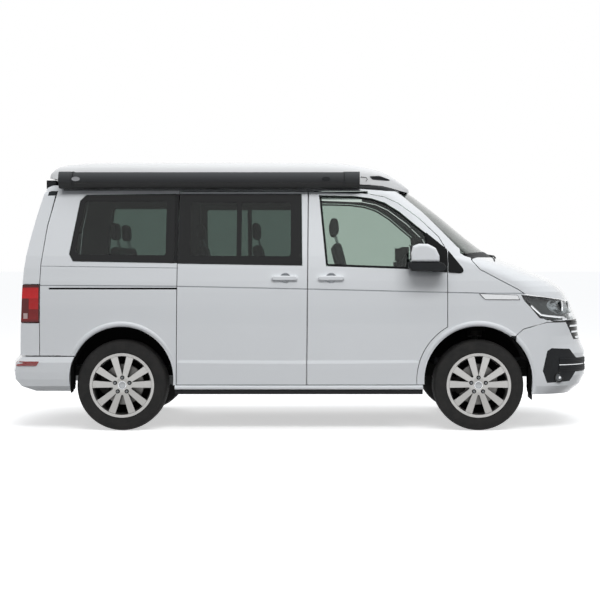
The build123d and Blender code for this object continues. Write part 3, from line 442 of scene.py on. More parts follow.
# silver lacquer on the face; the barrel and the disc behind it are a darker, duller grey
wheelFace = divided(behindFace, partial(metal, code="#a8a7a5", roughness=0.34, coat=0.3),
                    partial(metal, code="#4c4b4a", roughness=0.5, grain=0.008, depth=0.2))
roofSkin = divided(roofEdge, enamel, charcoal)
roofTrim = divided(roofRails, charcoal, partial(moulded, code="#9a9b9e", roughness=0.4, depth=0.02))
lampHousing = divided(lampBowls, partial(moulded, code="#3c3d3f", roughness=0.3, depth=0.03, gloss=0.5),
                      partial(metal, code="#8d9092", roughness=0.2))
# black stone-chip coating below, grey vinyl on top of the floor
underSide = divided(
    floorTop, partial(moulded, code="#101110", worn="#191917", roughness=0.8, grain=0.01, depth=0.5),
    partial(moulded, code="#46484a", worn="#505254", roughness=0.7, grain=0.006, depth=0.3))


def awningPaintedShading(tree, place):
    # powder-coated aluminium, with light and shade painted in by height: lighter along the top that faces the light,
    # near black underneath
    bands = ramp(tree, shareOf(tree, *axes(tree, place, "Z"), *areas["awning"]["z"]),
                 [(0.0, "#0d0e0f"), (0.30, "#0f1011"), (0.36, "#1d1e20"), (0.70, "#3a3c3e"), (0.90, "#46484a")])
    return principled(tree, {
        "Base Color": bands, "Roughness": 0.5, "IOR": 1.5, "Specular IOR Level": 0.3,
        "Normal": bumped(tree, noise(tree, place, 1 / 0.003), 0.06)})


def tailLens(tree, place):
    # red polycarbonate over its reflector: ribbed inside, darker in the lower third, one white light
    s = areas["tailLens"]
    x, z = axes(tree, place, "XZ")
    ribs = addNode(tree, "TexWave", {"Vector": place, "Scale": 40.0}, bands_direction="Z").outputs["Fac"]
    colour = ramp(tree, shareOf(tree, z, *s["z"]),
                  [(0.0, "#3d0203"), (0.10, "#8a0508"), (0.34, "#7a0406"), (0.36, "#c00d12"), (0.62, "#b3090e"),
                   (0.66, "#d9141a"), (0.90, "#c90f15"), (0.94, "#4a0304")])
    # darker chambers beside the bright column
    chamber = product(tree, between(tree, z, *s["chamberZ"]), under(tree, x, s["chamberX"]))
    white = product(tree, between(tree, z, *s["whiteZ"]), between(tree, x, *s["whiteX"]))
    for mask, code in ((chamber, "#5e0406"), (over(tree, x, s["edgeX"]), "#2a0203"), (white, "#c9b0ae")):
        colour = mixed(tree, mask, colour, code)
    return principled(tree, {
        "Base Color": colour, "Roughness": 0.25, "IOR": 1.58, "Specular IOR Level": 0.35,
        "Normal": bumped(tree, ribs, 0.25, 0.002)})


def tyreRubber(tree, place):
    # carbon-black rubber, greyed by dust in patches
    shade = ramp(tree, noise(tree, place, 12.0, 4.0), [(0.35, "#1a1a1a"), (0.7, "#262524")])
    return principled(tree, {
        "Base Color": shade, "Roughness": 0.72, "IOR": 1.52, "Specular IOR Level": 0.3,
        "Normal": bumped(tree, noise(tree, place, 1 / 0.003), 0.2)})


finish = {
    "enamel": newMaterial("white two-coat car enamel", enamel),
    "lined": newMaterial("white enamel outside, grained lining inside", linedPanel),
    "door": newMaterial("enamelled door with black mirror foot", doorPanel),
    "tailPanel": newMaterial("white enamelled tailgate, lined inside", tailPanel),
    "grille": newMaterial("gloss black ABS with chrome-plated bars", grille),
    "gelcoat": newMaterial("white gel-coated GRP", enamel, code="#e4e5e6", roughness=0.4),
    "bodySkin": newMaterial("white enamelled outer panel", wingPanel),
    "roofTrim": newMaterial("charcoal roof moulding and grey rails", roofTrim),
    "roofSkin": newMaterial("white enamelled roof with charcoal shoulder moulding", roofSkin),
    "charcoal": newMaterial("charcoal textured polypropylene", charcoal),
    "pianoBlack": newMaterial("black gloss ABS", moulded, code="#0b0c0d", roughness=0.12, depth=0.02, gloss=0.6),
    "arch": newMaterial("black polypropylene arch liner", moulded, code="#090909", roughness=0.8, grain=0.004,
                        level=0.1),
    "seal": newMaterial("black EPDM rubber seal", moulded, code="#111213", roughness=0.62, grain=0.002),
    "frit": newMaterial("black ceramic border fired on glass", moulded, code="#161718", roughness=0.25, depth=0.01,
                        level=0.3),
    "awning": newMaterial("anthracite powder-coated aluminium", awningPaintedShading),
    "rail": newMaterial("grey anodised aluminium", metal, code="#8b8c8f", roughness=0.35),
    "chrome": newMaterial("chrome-plated ABS", metal, code="#dcdee0", roughness=0.08, depth=0.0),
    "silvered": newMaterial("silvered mirror glass", metal, code="#e8ebec", roughness=0.02, depth=0.0),
    "tinted": newMaterial("privacy-tinted toughened glass", glass, code="#7f8e88", faceCode="#b9c2be"),
    "clear": newMaterial("green-tinted toughened glass", glass, code="#c2cec7", faceCode="#dde3e0"),
    "screen": newMaterial("green-tinted laminated windscreen", glass, code="#7d8882", faceCode="#ccd4d0"),
    "tailLens": newMaterial("red ribbed polycarbonate lens", tailLens),
    "redLens": newMaterial("red reflex polycarbonate", moulded, code="#8f1f20", roughness=0.15, worn="#a8393a",
                           grain=0.006, depth=0.4, gloss=1.0),
    "lampLens": newMaterial("clear polycarbonate lens", glass, code="#eef1f2"),
    "reflector": newMaterial("dark lamp housing with aluminised bowls", lampHousing),
    "tyre": newMaterial("black tyre rubber", tyreRubber),
    "alloy": newMaterial("silver-lacquered cast aluminium", wheelFace),
    "bolt": newMaterial("zinc-plated steel bolt", metal, code="#77797b", roughness=0.38, grain=0.002),
    "steel": newMaterial("bare rolled steel", metal, code="#6d6e6f", roughness=0.45, grain=0.01, depth=0.1),
    "cast": newMaterial("black-painted cast iron", moulded, code="#141414", worn="#201d1a", roughness=0.6,
                        grain=0.008, depth=0.4),
    "cabin": newMaterial("dark grey soft-touch cabin plastic", moulded, code="#2c2e31", roughness=0.65, grain=0.003),
    "cloth": newMaterial("charcoal woven seat cloth", woven),
    "bellows": newMaterial("grey coated tent cloth", woven, code="#8b8d90", dark="#6f7174", sheen=0.1),
    "under": newMaterial("stone-chip underseal and vinyl floor", underSide),
    "plate": newMaterial("white reflective plate sheet", moulded, code="#e3e3e0", roughness=0.35, grain=0.001,
                         depth=0.05, gloss=0.3),
    "alloyPlain": newMaterial("silver-lacquered hub cap", metal, code="#9d9fa1", roughness=0.3, coat=0.5),
    "projectorGlass": newMaterial("dark-backed projector lens", moulded, code="#32373b", worn="#596066",
                                  roughness=0.1, depth=0.0, gloss=1.0),
    "disc": newMaterial("turned grey cast-iron brake disc", metal, code="#6f6e6c", roughness=0.4, grain=0.002,
                        depth=0.08),
}

nodeFinish = {
    "enamel": ["bonnet", "rear_bumper"],
    "roofSkin": ["roof_panel"],
    "bodySkin": ["front_wings", "front_bumper"],
    "lined": ["pillars", "quarter_panel_right", "side_panel_left", "sliding_door"],
    "tailPanel": ["tailgate"],
    "door": ["front_door_right", "front_door_left"],
    "gelcoat": ["pop_roof"],
    "charcoal": ["lower_trims", "cowl_panel"],
    "roofTrim": ["roof_trims"],
    "arch": ["wheel_houses"],
    "grille": ["front_grille"],
    "awning": ["awning_case"],
    "tinted": ["side_glass", "tailgate_glass"],
    "clear": ["door_glass_right", "door_glass_left"],
    "screen": ["windscreen"],
    "tailLens": ["tail_lamps"],
    "lampLens": ["headlamp_covers"],
    "reflector": ["headlamps"],
    "tyre": [name for name in nodes if name.startswith("tyre_")],
    "alloy": [name for name in nodes if name.startswith("rim_")],
    "steel": ["axles", "towing_sockets"],
    "cast": ["engine_block", "knuckle_right", "knuckle_left"],
    "cabin": ["dashboard", "steering_wheel"],
    "cloth": ["seats"],
    "bellows": ["roof_bellows"],
    "under": ["underbody"],
}
for key, names in nodeFinish.items():
    for name in names:
        for slot in nodes[name].material_slots:
            slot.material = finish[key]
print("nodes finished")

sides = ((-1.1, "right"), (1.1, "left"))      # a level outside each side of the vehicle, and its name


def only(piece):
    bpy.ops.object.select_all(action="DESELECT")
    piece.select_set(True)
    bpy.context.view_layer.objects.active = piece


def objectMode():
    bpy.ops.object.mode_set(mode="OBJECT")


def selectBy(kind):
    bpy.ops.mesh.select_mode(type=kind)


def selectAll():
    bpy.ops.mesh.select_all(action="SELECT")


def selectNone():
    bpy.ops.mesh.select_all(action="DESELECT")


def subdivide(cuts):
    bpy.ops.mesh.subdivide(number_cuts=cuts)


def extrude(move):
    bpy.ops.mesh.extrude_region_move(TRANSFORM_OT_translate={"value": move})


def fatten(depth):
    bpy.ops.mesh.extrude_region_shrink_fatten(TRANSFORM_OT_shrink_fatten={"value": depth})


def editing(piece, kind="VERT"):
    # edit mode with the whole mesh selected, after the object's place has gone into its mesh
    only(piece)
    bpy.ops.object.transform_apply(location=True, rotation=True, scale=True)
    bpy.ops.object.mode_set(mode="EDIT")
    selectBy(kind)
    selectAll()


def outward():
    selectAll()
    bpy.ops.mesh.normals_make_consistent(inside=False)


def pick(piece, kind, test):
    # selects the edges or faces whose middle and direction pass the test
    selectBy(kind)
    selectNone()
    objectMode()
    mesh = piece.data
    if kind == "FACE":
        for face in mesh.polygons:
            face.select = test(face.center, face.normal)
    else:
        for edge in mesh.edges:
            start, end = (mesh.vertices[i].co for i in edge.vertices)
            edge.select = test((start + end) / 2, (end - start).normalized())
    bpy.ops.object.mode_set(mode="EDIT")


def apply(piece, kind, **settings):
    only(piece)
    bpy.ops.object.modifier_add(type=kind)
    modifier = piece.modifiers[-1]
    for name, value in settings.items():
        setattr(modifier, name, value)
    bpy.ops.object.modifier_apply(modifier=modifier.name)


def finishPiece(piece, name, body, look, slot, smooth=35):
    # the finish and the body that it rides on; the slot is not used
    only(piece)
    bpy.ops.object.transform_apply(location=True, rotation=True, scale=True)
    piece.name = piece.data.name = name
    piece.data.materials.clear()
    piece.data.materials.append(finish[look])
    bpy.ops.object.shade_smooth_by_angle(angle=math.radians(smooth))
    if body:
        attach(piece, body)
    piece.select_set(False)
    return piece


def copied(piece, name, move=(0, 0, 0), mirrored=False):
    # a copy with its own mesh, moved, or mirrored to the other side of the vehicle
    only(piece)
    bpy.ops.object.duplicate(linked=False)
    copy = bpy.context.active_object
    copy.name = copy.data.name = name
    copy.location = move
    if mirrored:
        copy.scale = (1, -1, 1)
    bpy.ops.object.transform_apply(location=True, rotation=True, scale=True)
    if mirrored:
        editing(copy)
        bpy.ops.mesh.flip_normals()
        objectMode()
    copy.select_set(False)
    return copy


def bothSides(piece, name, body, look, slot, smooth=35):
    finishPiece(piece, name + "_right", body, look, slot, smooth)
    copy = copied(piece, name + "_left", mirrored=True)
    finishPiece(copy, copy.name, body, look, slot, smooth)


def joined(pieces):
    bpy.ops.object.select_all(action="DESELECT")
    for piece in pieces:
        piece.select_set(True)
    bpy.context.view_layer.objects.active = pieces[0]
    bpy.ops.object.join()
    return bpy.context.active_object


def onAxis(axis):
    return Vector([1.0 if letter == axis else 0.0 for letter in "XYZ"])


def turned(rows, centre, axis="Y", segments=20, ring=False):
    # a circle extruded and scaled row by row along its axis; a row is an offset and a radius
    turn = {"X": (0, math.pi / 2, 0), "Y": (math.pi / 2, 0, 0), "Z": (0, 0, 0)}[axis]
    centre = Vector(centre)
    along = onAxis(axis)
    offset, radius = rows[0]
    bpy.ops.mesh.primitive_circle_add(vertices=segments, radius=radius, location=centre + along * offset,
                                      rotation=turn)
    piece = bpy.context.active_object
    editing(piece)
    for nextOffset, nextRadius in rows[1:]:
        extrude(along * (nextOffset - offset))
        if nextRadius == 0:
            bpy.ops.mesh.merge(type="CENTER")
            break
        grow = nextRadius / radius
        bpy.ops.transform.resize(value=[1.0 if letter == axis else grow for letter in "XYZ"],
                                 center_override=centre + along * nextOffset)
        offset, radius = nextOffset, nextRadius
    if ring:
        selectNone()
        bpy.ops.mesh.select_non_manifold(extend=False)
        bpy.ops.mesh.bridge_edge_loops()
    else:
        selectAll()
        bpy.ops.mesh.fill_holes(sides=0)
    outward()
    objectMode()
    return piece


def inPlane(plane, level, u, v):
    return Vector({"XZ": (u, level, v), "YZ": (level, u, v), "XY": (u, v, level)}[plane])


def rectangle(low, high, bottom, top):
    return [(low, bottom), (high, bottom), (high, top), (low, top)]


def chained(places):
    # points extruded one from the next, left in edit mode
    bpy.ops.mesh.primitive_plane_add(size=0.01, location=places[0])
    piece = bpy.context.active_object
    editing(piece)
    bpy.ops.mesh.merge(type="CENTER")
    for here, there in zip(places, places[1:]):
        extrude(there - here)
    return piece


def outlined(outline, level, plane="XZ", corner=0.0, steps=4):
    # a chain closed to a face, its corners rounded
    piece = chained([inPlane(plane, level, u, v) for u, v in outline])
    selectAll()
    bpy.ops.mesh.edge_face_add()
    if corner:
        bpy.ops.mesh.bevel(offset=corner, segments=steps, affect="VERTICES")
    return piece


def slab(outline, level, depth, plane="XZ", corner=0.0, edge=0.0):
    # an outline given a thickness along the plane's normal, with softened edges
    piece = outlined(outline, level, plane, corner)
    along = inPlane(plane, 1.0, 0, 0) * depth
    selectAll()
    extrude(along)
    outward()
    if edge:
        selectNone()
        selectBy("EDGE")
        bpy.ops.mesh.edges_select_sharp(sharpness=math.radians(45))
        bpy.ops.mesh.bevel(offset=edge, segments=2)
    objectMode()
    return piece


def laid(piece, target, level, lift, thick, plane="XZ"):
    # a flat mesh in edit mode, laid on a CAD piece or another piece from the side it lies on, and thickened
    objectMode()
    towards = {"use_positive_direction": level < 0, "use_negative_direction": level > 0}
    apply(piece, "SHRINKWRAP", target=nodes[target] if isinstance(target, str) else target, offset=lift,
          wrap_method="PROJECT", use_project_x=plane == "YZ", use_project_y=plane == "XZ", **towards)
    thickened(piece, thick)
    return piece


def thickened(piece, thick):
    # a sheet given a thickness, half of it on either side
    apply(piece, "SOLIDIFY", thickness=thick, offset=0.0)
    editing(piece)
    outward()
    objectMode()


borderSettings = {"cuts": 3, "lift": 0.001, "thick": 0.0016}


def bordered(outer, inner, level, target, corners, plane="XZ"):
    # a flat border between two outlines, laid on a curved pane
    s = borderSettings
    loops = []
    for outline, corner in zip((outer, inner), corners):
        loop = outlined(outline, level, plane, corner, 5)
        selectBy("FACE")
        selectAll()
        bpy.ops.mesh.delete(type="ONLY_FACE")
        objectMode()
        loops.append(loop)
    piece = joined(loops)
    editing(piece)
    bpy.ops.mesh.bridge_edge_loops()
    selectAll()
    subdivide(s["cuts"])
    return laid(piece, target, level, s["lift"], s["thick"], plane)


def panelled(piece, axis, rim, depth):
    # a panel sunk into each face that looks along an axis
    editing(piece, "FACE")
    pick(piece, "FACE", lambda middle, normal: abs(normal[axis]) > 0.9)
    bpy.ops.mesh.inset(thickness=rim, use_individual=True)
    fatten(-depth)
    objectMode()


def hit(node, start, direction):
    # where a line from start first meets a CAD node
    found, place = nodes[node].ray_cast(Vector(start), Vector(direction).normalized())[:2]
    return place if found else Vector(start)


def swept(points, radius, sides=10):
    # a small circle carried from point to point, turned to face along each run
    points = [Vector(point) for point in points]
    lastFacing = (points[1] - points[0]).normalized()
    bpy.ops.mesh.primitive_circle_add(vertices=sides, radius=radius, location=points[0],
                                      rotation=lastFacing.to_track_quat("Z", "Y").to_euler())
    piece = bpy.context.active_object
    editing(piece)
    for index, (here, there) in enumerate(zip(points, points[1:])):
        extrude(there - here)
        if index + 2 < len(points):
            # the new ring turns to face half way into the next run
            run = (there - here).normalized()
            ahead = (points[index + 2] - there).normalized()
            facing = (run + ahead).normalized()
            lean = lastFacing.rotation_difference(facing).to_matrix()
            objectMode()
            for vertex in piece.data.vertices[-sides:]:
                vertex.co = there + lean @ (vertex.co - there)
            bpy.ops.object.mode_set(mode="EDIT")
            lastFacing = facing
    selectAll()
    bpy.ops.mesh.fill_holes(sides=0)
    outward()
    objectMode()
    return piece


wheels = {
    # wheel: axle place along the vehicle, side
    "front_right": (1.4444, -1), "front_left": (1.4444, 1),
    "rear_right": (-1.4126, -1), "rear_left": (-1.4126, 1),
}
wheelPlace = {"y": 0.812, "z": 0.364}

tyreSettings = {
    "segments": 96,
    "outerRows": [(-0.098, 0.2505), (-0.1035, 0.258), (-0.1062, 0.262), (-0.1062, 0.266), (-0.1095, 0.278),
                  (-0.1122, 0.296), (-0.1122, 0.314), (-0.1102, 0.330), (-0.1085, 0.3345), (-0.1085, 0.338),
                  (-0.105, 0.347), (-0.098, 0.3545), (-0.088, 0.3595), (-0.070, 0.3625), (-0.0495, 0.3638)],
    "grooves": (-0.045, -0.0155, 0.0155, 0.045),   # middles of the four long grooves
    "grooveHalf": 0.0042,
    "grooveDepth": 0.008,
    "treadRadius": 0.3638,
    "grooveSlope": 0.001,
    "blockEdge": 0.0022,      # half the width of a cross groove
    "crossDepth": 0.006,
    "crownRadius": 0.358,     # the cross grooves stay outside it
}


def treadRows(s):
    rows = list(s["outerRows"])
    top, slope = s["treadRadius"], s["grooveSlope"]
    floor = top - s["grooveDepth"]
    for middle in s["grooves"]:
        low, high = middle - s["grooveHalf"], middle + s["grooveHalf"]
        rows += [(low, top), (low + slope, floor), (high - slope, floor), (high, top)]
    rows += [(-offset, radius) for offset, radius in reversed(s["outerRows"])]
    return rows


def makeTyre(s):
    x, side = wheels["front_right"]
    centre = Vector((x, side * wheelPlace["y"], wheelPlace["z"]))
    tyre = turned(treadRows(s), centre, segments=s["segments"], ring=True)
    step = 2 * math.pi / s["segments"]

    def crossEdge(middle, direction):
        # every second line across the ribs, offset by one from rib to rib
        radius = math.hypot(middle.x - centre.x, middle.z - centre.z)
        if abs(direction.y) < 0.9 or radius < s["crownRadius"]:
            return False
        turn = round(math.atan2(middle.z - centre.z, middle.x - centre.x) / step)
        rib = sum(middle.y - centre.y > groove for groove in s["grooves"])
        return (turn + rib) % 2 == 0

    editing(tyre)
    pick(tyre, "EDGE", crossEdge)
    bpy.ops.mesh.bevel(offset=s["blockEdge"], segments=1)
    selectBy("FACE")
    fatten(-s["crossDepth"])
    objectMode()
    return tyre


def onWheels(piece, name, look, slot, replaced=None, smooth=35):
    # the front right piece and its copies on the other wheels
    home = wheels["front_right"][0]
    copies = [(copied(piece, name + "_" + wheel, (x - home, 0, 0), mirrored=side > 0), wheel)
              for wheel, (x, side) in wheels.items() if wheel != "front_right"]
    for copy, wheel in [*copies, (piece, "front_right")]:
        finishPiece(copy, name + "_" + wheel, "wheel_" + wheel, look, slot, smooth)
        if replaced:
            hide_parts(replaced + wheel)


onWheels(makeTyre(tyreSettings), "treadedTyre", "tyre", "tyre", "tyre_", 30)
print("tyres made")

hubSettings = {
    "boltCircle": 0.061,
    "bolts": 5,
    "faceY": -0.9005,        # outer face of the hub
    "valveRadius": 0.231,
    "valveSunk": 0.004,
    # profiles: offset inwards from the face, radius
    "bolt": [(0.002, 0.0105), (-0.009, 0.0105), (-0.011, 0.009), (-0.011, 0.0055), (-0.008, 0.005), (-0.008, 0)],
    # well: a black disc round each bolt, painted shade for its pocket
    "well": [(0.002, 0.017), (-0.0015, 0.017), (-0.0022, 0.0155), (-0.0008, 0.013), (-0.0008, 0)],
    "cap": [(0.002, 0.0265), (-0.004, 0.0265), (-0.0062, 0.024), (-0.0078, 0.016), (-0.0085, 0.006), (-0.0086, 0)],
    "ring": [(0.002, 0.033), (-0.0045, 0.033), (-0.006, 0.0315), (-0.006, 0.0285), (-0.004, 0.027), (0.002, 0.027)],
    "valve": [(0.03, 0.0045), (0.004, 0.0045), (0.0, 0.0055), (-0.008, 0.0055), (-0.009, 0.0048), (-0.009, 0)],
}


def makeHubPieces(s):
    x, y, z = wheels["front_right"][0], s["faceY"], wheelPlace["z"]
    turns = [math.radians(90 + 360 / s["bolts"] * index) for index in range(s["bolts"])]
    places = [(x + s["boltCircle"] * math.cos(turn), y, z + s["boltCircle"] * math.sin(turn)) for turn in turns]
    bolts, wells = ([turned(s[key], place, segments=sides) for place in places]
                    for key, sides in (("bolt", 6), ("well", 20)))
    cap = turned(s["cap"], (x, y, z), segments=40)
    ring = turned(s["ring"], (x, y, z), segments=40, ring=True)
    valve = turned(s["valve"], (x, y + s["valveSunk"], z - s["valveRadius"]), segments=10)
    onWheels(joined(bolts), "wheelBolts", "bolt", "steel")
    # black discs round the bolts: painted shade for the hollow bolt pockets
    onWheels(joined(wells), "boltPocketShade", "seal", "alloy")
    onWheels(cap, "hubCap", "alloyPlain", "alloy")
    onWheels(ring, "hubCapRing", "chrome", "alloy")
    onWheels(valve, "tyreValve", "seal", "tyre")


makeHubPieces(hubSettings)
print("hub pieces made")

slidingPane = [(-0.868, 1.832), (-0.868, 1.402), (-0.062, 1.398), (-0.062, 1.832)]
windows = {
    # borders on the flush panes, in metres: outer and inner outlines in side view
    "quarter": {"outer": [(-1.764, 1.846), (-1.8355, 1.4165), (-1.8045, 1.3585), (-0.9945, 1.3435),
                          (-0.9925, 1.9015), (-1.7145, 1.8935)],
                "inner": [(-1.722, 1.842), (-1.786, 1.452), (-1.772, 1.412), (-1.064, 1.405),
                          (-1.064, 1.842), (-1.700, 1.842)]},
    "middle": {"outer": [(-0.9575, 1.901), (-0.9695, 1.3405), (0.0175, 1.3245), (0.0115, 1.901)],
               "inner": slidingPane},
    "slider": {"outer": [(-0.9575, 1.901), (-0.9695, 1.3405), (0.0295, 1.3245), (0.0235, 1.901)],
               "inner": slidingPane},
}
windowCorners = (0.012, 0.022)
divider = {"outline": rectangle(-0.4955, -0.4565, 1.392, 1.842), "lift": 0.003, "thick": 0.004}


def makeWindowBorders():
    for (level, side), names in zip(sides, (("quarter", "slider"), ("quarter", "middle"))):
        for name in names:
            border = bordered(windows[name]["outer"], windows[name]["inner"], level, "side_glass", windowCorners)
            finishPiece(border, name + "Border_" + side, "body", "frit", "dark_trim")
    for level, side in sides:
        bar = outlined(divider["outline"], level)
        subdivide(5)
        laid(bar, "side_glass", level, divider["lift"], divider["thick"])
        finishPiece(bar, "sliderDivider_" + side, "body", "frit", "dark_trim")


makeWindowBorders()
print("window borders made")


def sealRing(outline, width, level, target, corner, lift=0.0015, thick=0.003):
    # an even border of rubber round a pane
    ring = outlined(outline, level, corner=corner, steps=5)
    selectBy("FACE")
    selectAll()
    bpy.ops.mesh.inset(thickness=width)
    bpy.ops.mesh.delete(type="FACE")
    selectAll()
    subdivide(2)
    return laid(ring, target, level, lift, thick)


doorSeal = {
    "outline": [(0.169, 1.889), (0.2245, 1.3215), (1.0635, 1.2915), (1.0275, 1.5785), (0.976, 1.6195),
                (0.816, 1.7540), (0.695, 1.8300), (0.591, 1.8635), (0.455, 1.8825)],
    "width": 0.014,
    "corner": 0.02,
}
for level, side in sides:
    seal = sealRing(doorSeal["outline"], doorSeal["width"], level, "door_glass_" + side, doorSeal["corner"])
    finishPiece(seal, "doorGlassSeal_" + side, "door_" + side, "seal", "dark_trim")
print("door seals made")

badgeSettings = {
    "outline": [(1.441, 1.1005), (1.753, 1.089), (1.772, 1.0495), (1.492, 1.051)],   # left bare
    "corner": 0.006,
    "edge": 0.0035,
    "plate": (0.002, 0.003),      # lift and thickness
    "rim": (0.003, 0.004),
}


def makeBadge(s):
    for level, side in sides:
        plate = outlined(s["outline"], level, corner=s["corner"])
        selectBy("FACE")
        bpy.ops.mesh.inset(thickness=s["edge"])
        selectAll()
        subdivide(2)
        laid(plate, "front_wings", level, *s["plate"])
        rim = sealRing(s["outline"], s["edge"], level, "front_wings", s["corner"], *s["rim"])
        finishPiece(plate, "wingBadgePlate_" + side, "body", "chrome", "alloy")
        finishPiece(rim, "wingBadgeRim_" + side, "body", "pianoBlack", "dark_trim")


makeBadge(badgeSettings)

mirrorSettings = {
    "glass": [(-1.138, 1.366), (-0.990, 1.366), (-0.990, 1.470), (-1.012, 1.484), (-1.112, 1.476), (-1.138, 1.452)],
    "x": 0.8805,
    "depth": 0.022,
    "paneShare": (0.93, 0.91),      # the pane's size in the rim's, across and up
    "paneStands": 0.0012,
}


def makeMirrorGlass(s):
    rim = slab(s["glass"], s["x"], s["depth"], "YZ", corner=0.014, edge=0.003)
    finishPiece(rim, "mirrorRim_right", "door_right", "charcoal", "dark_trim")
    middle = [sum(values) / len(s["glass"]) for values in zip(*s["glass"])]
    small = [[centre + (value - centre) * share for value, centre, share in zip(corner, middle, s["paneShare"])]
             for corner in s["glass"]]
    pane = slab(small, s["x"] - s["paneStands"], 0.004, "YZ", corner=0.012, edge=0.0006)
    finishPiece(pane, "mirrorGlass_right", "door_right", "silvered", "alloy")
    for piece, look, slot in ((rim, "charcoal", "dark_trim"), (pane, "silvered", "alloy")):
        copy = copied(piece, piece.name.replace("right", "left"), mirrored=True)
        finishPiece(copy, copy.name, "door_left", look, slot)


makeMirrorGlass(mirrorSettings)
print("badges and mirror glasses made")

wiperSettings = {
    # sweeps across the foot of the windscreen, as seen from the front: width position and height
    "blades": {"wiperBlade_left": ((0.70, 1.436), (0.46, 1.440), (0.20, 1.446), (0.02, 1.450)),
               "wiperBlade_right": ((-0.06, 1.438), (-0.32, 1.434), (-0.56, 1.432), (-0.72, 1.430))},
    "lift": 0.010,
    "radius": 0.0065,
    "pivot": (1.580, 1.418),      # place along, height
    "pivotGap": 0.10,             # from the blade's foot, towards the middle or the side
    "eye": (1.9, 0.16),           # where a look down at the screen starts: place along, height above the blade
    "look": (-0.8, 0, -0.6),
}


def onScreen(y, z, s):
    # the outermost of the windscreen, the scuttle and the bonnet under a place on the blade
    start = Vector((s["eye"][0], y, z + s["eye"][1]))
    look = Vector(s["look"])
    places = [hit(name, start, look) for name in ("windscreen", "cowl_panel", "bonnet")]
    return max((place for place in places if place != start), key=lambda place: place.x) - look * s["lift"]


def makeWipers(s):
    for name, line in s["blades"].items():
        spine = [onScreen(y, z, s) for y, z in line]
        blade = swept([point - Vector((0.004, 0, 0.005)) for point in spine], s["radius"] * 0.7)
        foot = spine[-1] if "left" in name else spine[0]
        pivotX, pivotZ = s["pivot"]
        pivot = Vector((pivotX, foot.y - math.copysign(s["pivotGap"], foot.y), pivotZ))
        arm = swept([pivot, pivot + Vector((-0.010, 0, 0.014)), (pivot + spine[1]) / 2 + Vector((0.006, 0, 0.004)),
                     spine[1] + Vector((0.006, 0, 0.006)), spine[2] + Vector((0.004, 0, 0.005))], s["radius"])
        cap = turned([(-0.02, 0.016), (0.004, 0.016), (0.010, 0.012), (0.012, 0)], pivot, "Z")
        finishPiece(joined([blade, arm, cap]), name, "body", "seal", "dark_trim")


makeWipers(wiperSettings)

plateSettings = {
    "half": 0.26, "height": 0.11,
    "thick": 0.0015,
    "holder": 0.004,             # thickness of the holder
    "margin": 0.006,             # of the holder round the plate
    "border": (0.004, 0.003),    # rim, and slope to the sunk middle
    "sunk": 0.0008,
}


def makePlates(s):
    # bare plates in their black holders
    half, height = s["half"], s["height"]
    for name, body, x, low, out in (("rearPlate", "tailgate_lid", -2.2825, 0.970, -1),
                                    ("frontPlate", "body", 2.4100, 0.492, 1)):
        margin = s["margin"]
        outline = rectangle(-half, half, low, low + height)
        big = rectangle(-half - margin, half + margin, low - margin, low + height + margin)
        holder = slab(big, x, out * s["holder"], "YZ", corner=0.008, edge=0.001)
        sheet = slab(outline, x + out * s["holder"], out * s["thick"], "YZ", corner=0.01)
        editing(sheet, "FACE")
        pick(sheet, "FACE", lambda middle, normal: normal.x * out > 0.9)
        for width in s["border"]:
            bpy.ops.mesh.inset(thickness=width)
        bpy.ops.transform.translate(value=(-out * s["sunk"], 0, 0))
        objectMode()
        finishPiece(holder, name + "Holder", body, "seal", "dark_trim")
        finishPiece(sheet, name, body, "plate", "roof_paint")


makePlates(plateSettings)
print("wipers and plates made")

lampSettings = {
    "projectors": ((-0.815, 0.990), (-0.690, 0.985)),      # place across, height
    "ringRadius": 0.049,
    # profiles: offset, how far inside the ring's radius
    "ring": [(-0.006, 0), (0.004, 0), (0.007, 0.003), (0.004, 0.008), (-0.006, 0.009)],
    "dome": [(-0.004, 0.010), (0.002, 0.011), (0.009, 0.018), (0.0125, 0.030), (0.0135, 0.049)],
    "domeSunk": 0.004,
    "reflectorZ": (0.5225, 0.5575),
    "reflectorX": (-2.070, -2.252),
    "reflectorSlope": 0.020,
    "reflectorStands": (0.003, 0.006),      # lift and thickness
}


def makeHeadlampPieces(s):
    # a chrome ring and a lens dome on each projector
    parts = {"ring": [], "dome": []}
    for y, z in s["projectors"]:
        x = hit("headlamps", (3.0, y, z), (-1, 0, 0)).x
        radius = s["ringRadius"]
        rim = [(offset, radius - inset) for offset, inset in s["ring"]]
        dome = [(offset, radius - inset) for offset, inset in s["dome"]]
        parts["ring"].append(turned(rim, (x, y, z), "X", 40, ring=True))
        parts["dome"].append(turned(dome, (x - s["domeSunk"], y, z), "X", 40))
    for kind, look, slot in (("ring", "chrome", "alloy"), ("dome", "projectorGlass", "lamp_clear")):
        bothSides(joined(parts[kind]), "projector" + kind.title(), "body", look, slot)


makeHeadlampPieces(lampSettings)


def makeReflectors(s):
    # red reflex strips set in the shoulders of the rear bumper
    (low, high), (front, rear) = s["reflectorZ"], s["reflectorX"]
    outline = [(front, high), (front - s["reflectorSlope"], low), (rear, low), (rear, high)]
    for level, side in sides:
        strip = outlined(outline, level, corner=0.006)
        subdivide(9)
        bpy.ops.mesh.poke()
        laid(strip, "rear_bumper", level, *s["reflectorStands"])
        finishPiece(strip, "rearReflector_" + side, "body", "redLens", "lamp_red")


makeReflectors(lampSettings)
print("lamps made")

rearSettings = {
    "brakeLight": rectangle(-0.16, 0.16, 1.968, 1.992),
    "brakeX": -2.1105,
    "wiperPivot": (0.0, 1.262),      # place across, height
    "wiperTip": (-0.40, 1.300),
    "wiperRise": 0.045,              # of the arm over a straight line from the pivot
    "wiperStands": 0.012,            # off the glass
    "screenFoot": 1.300,
}


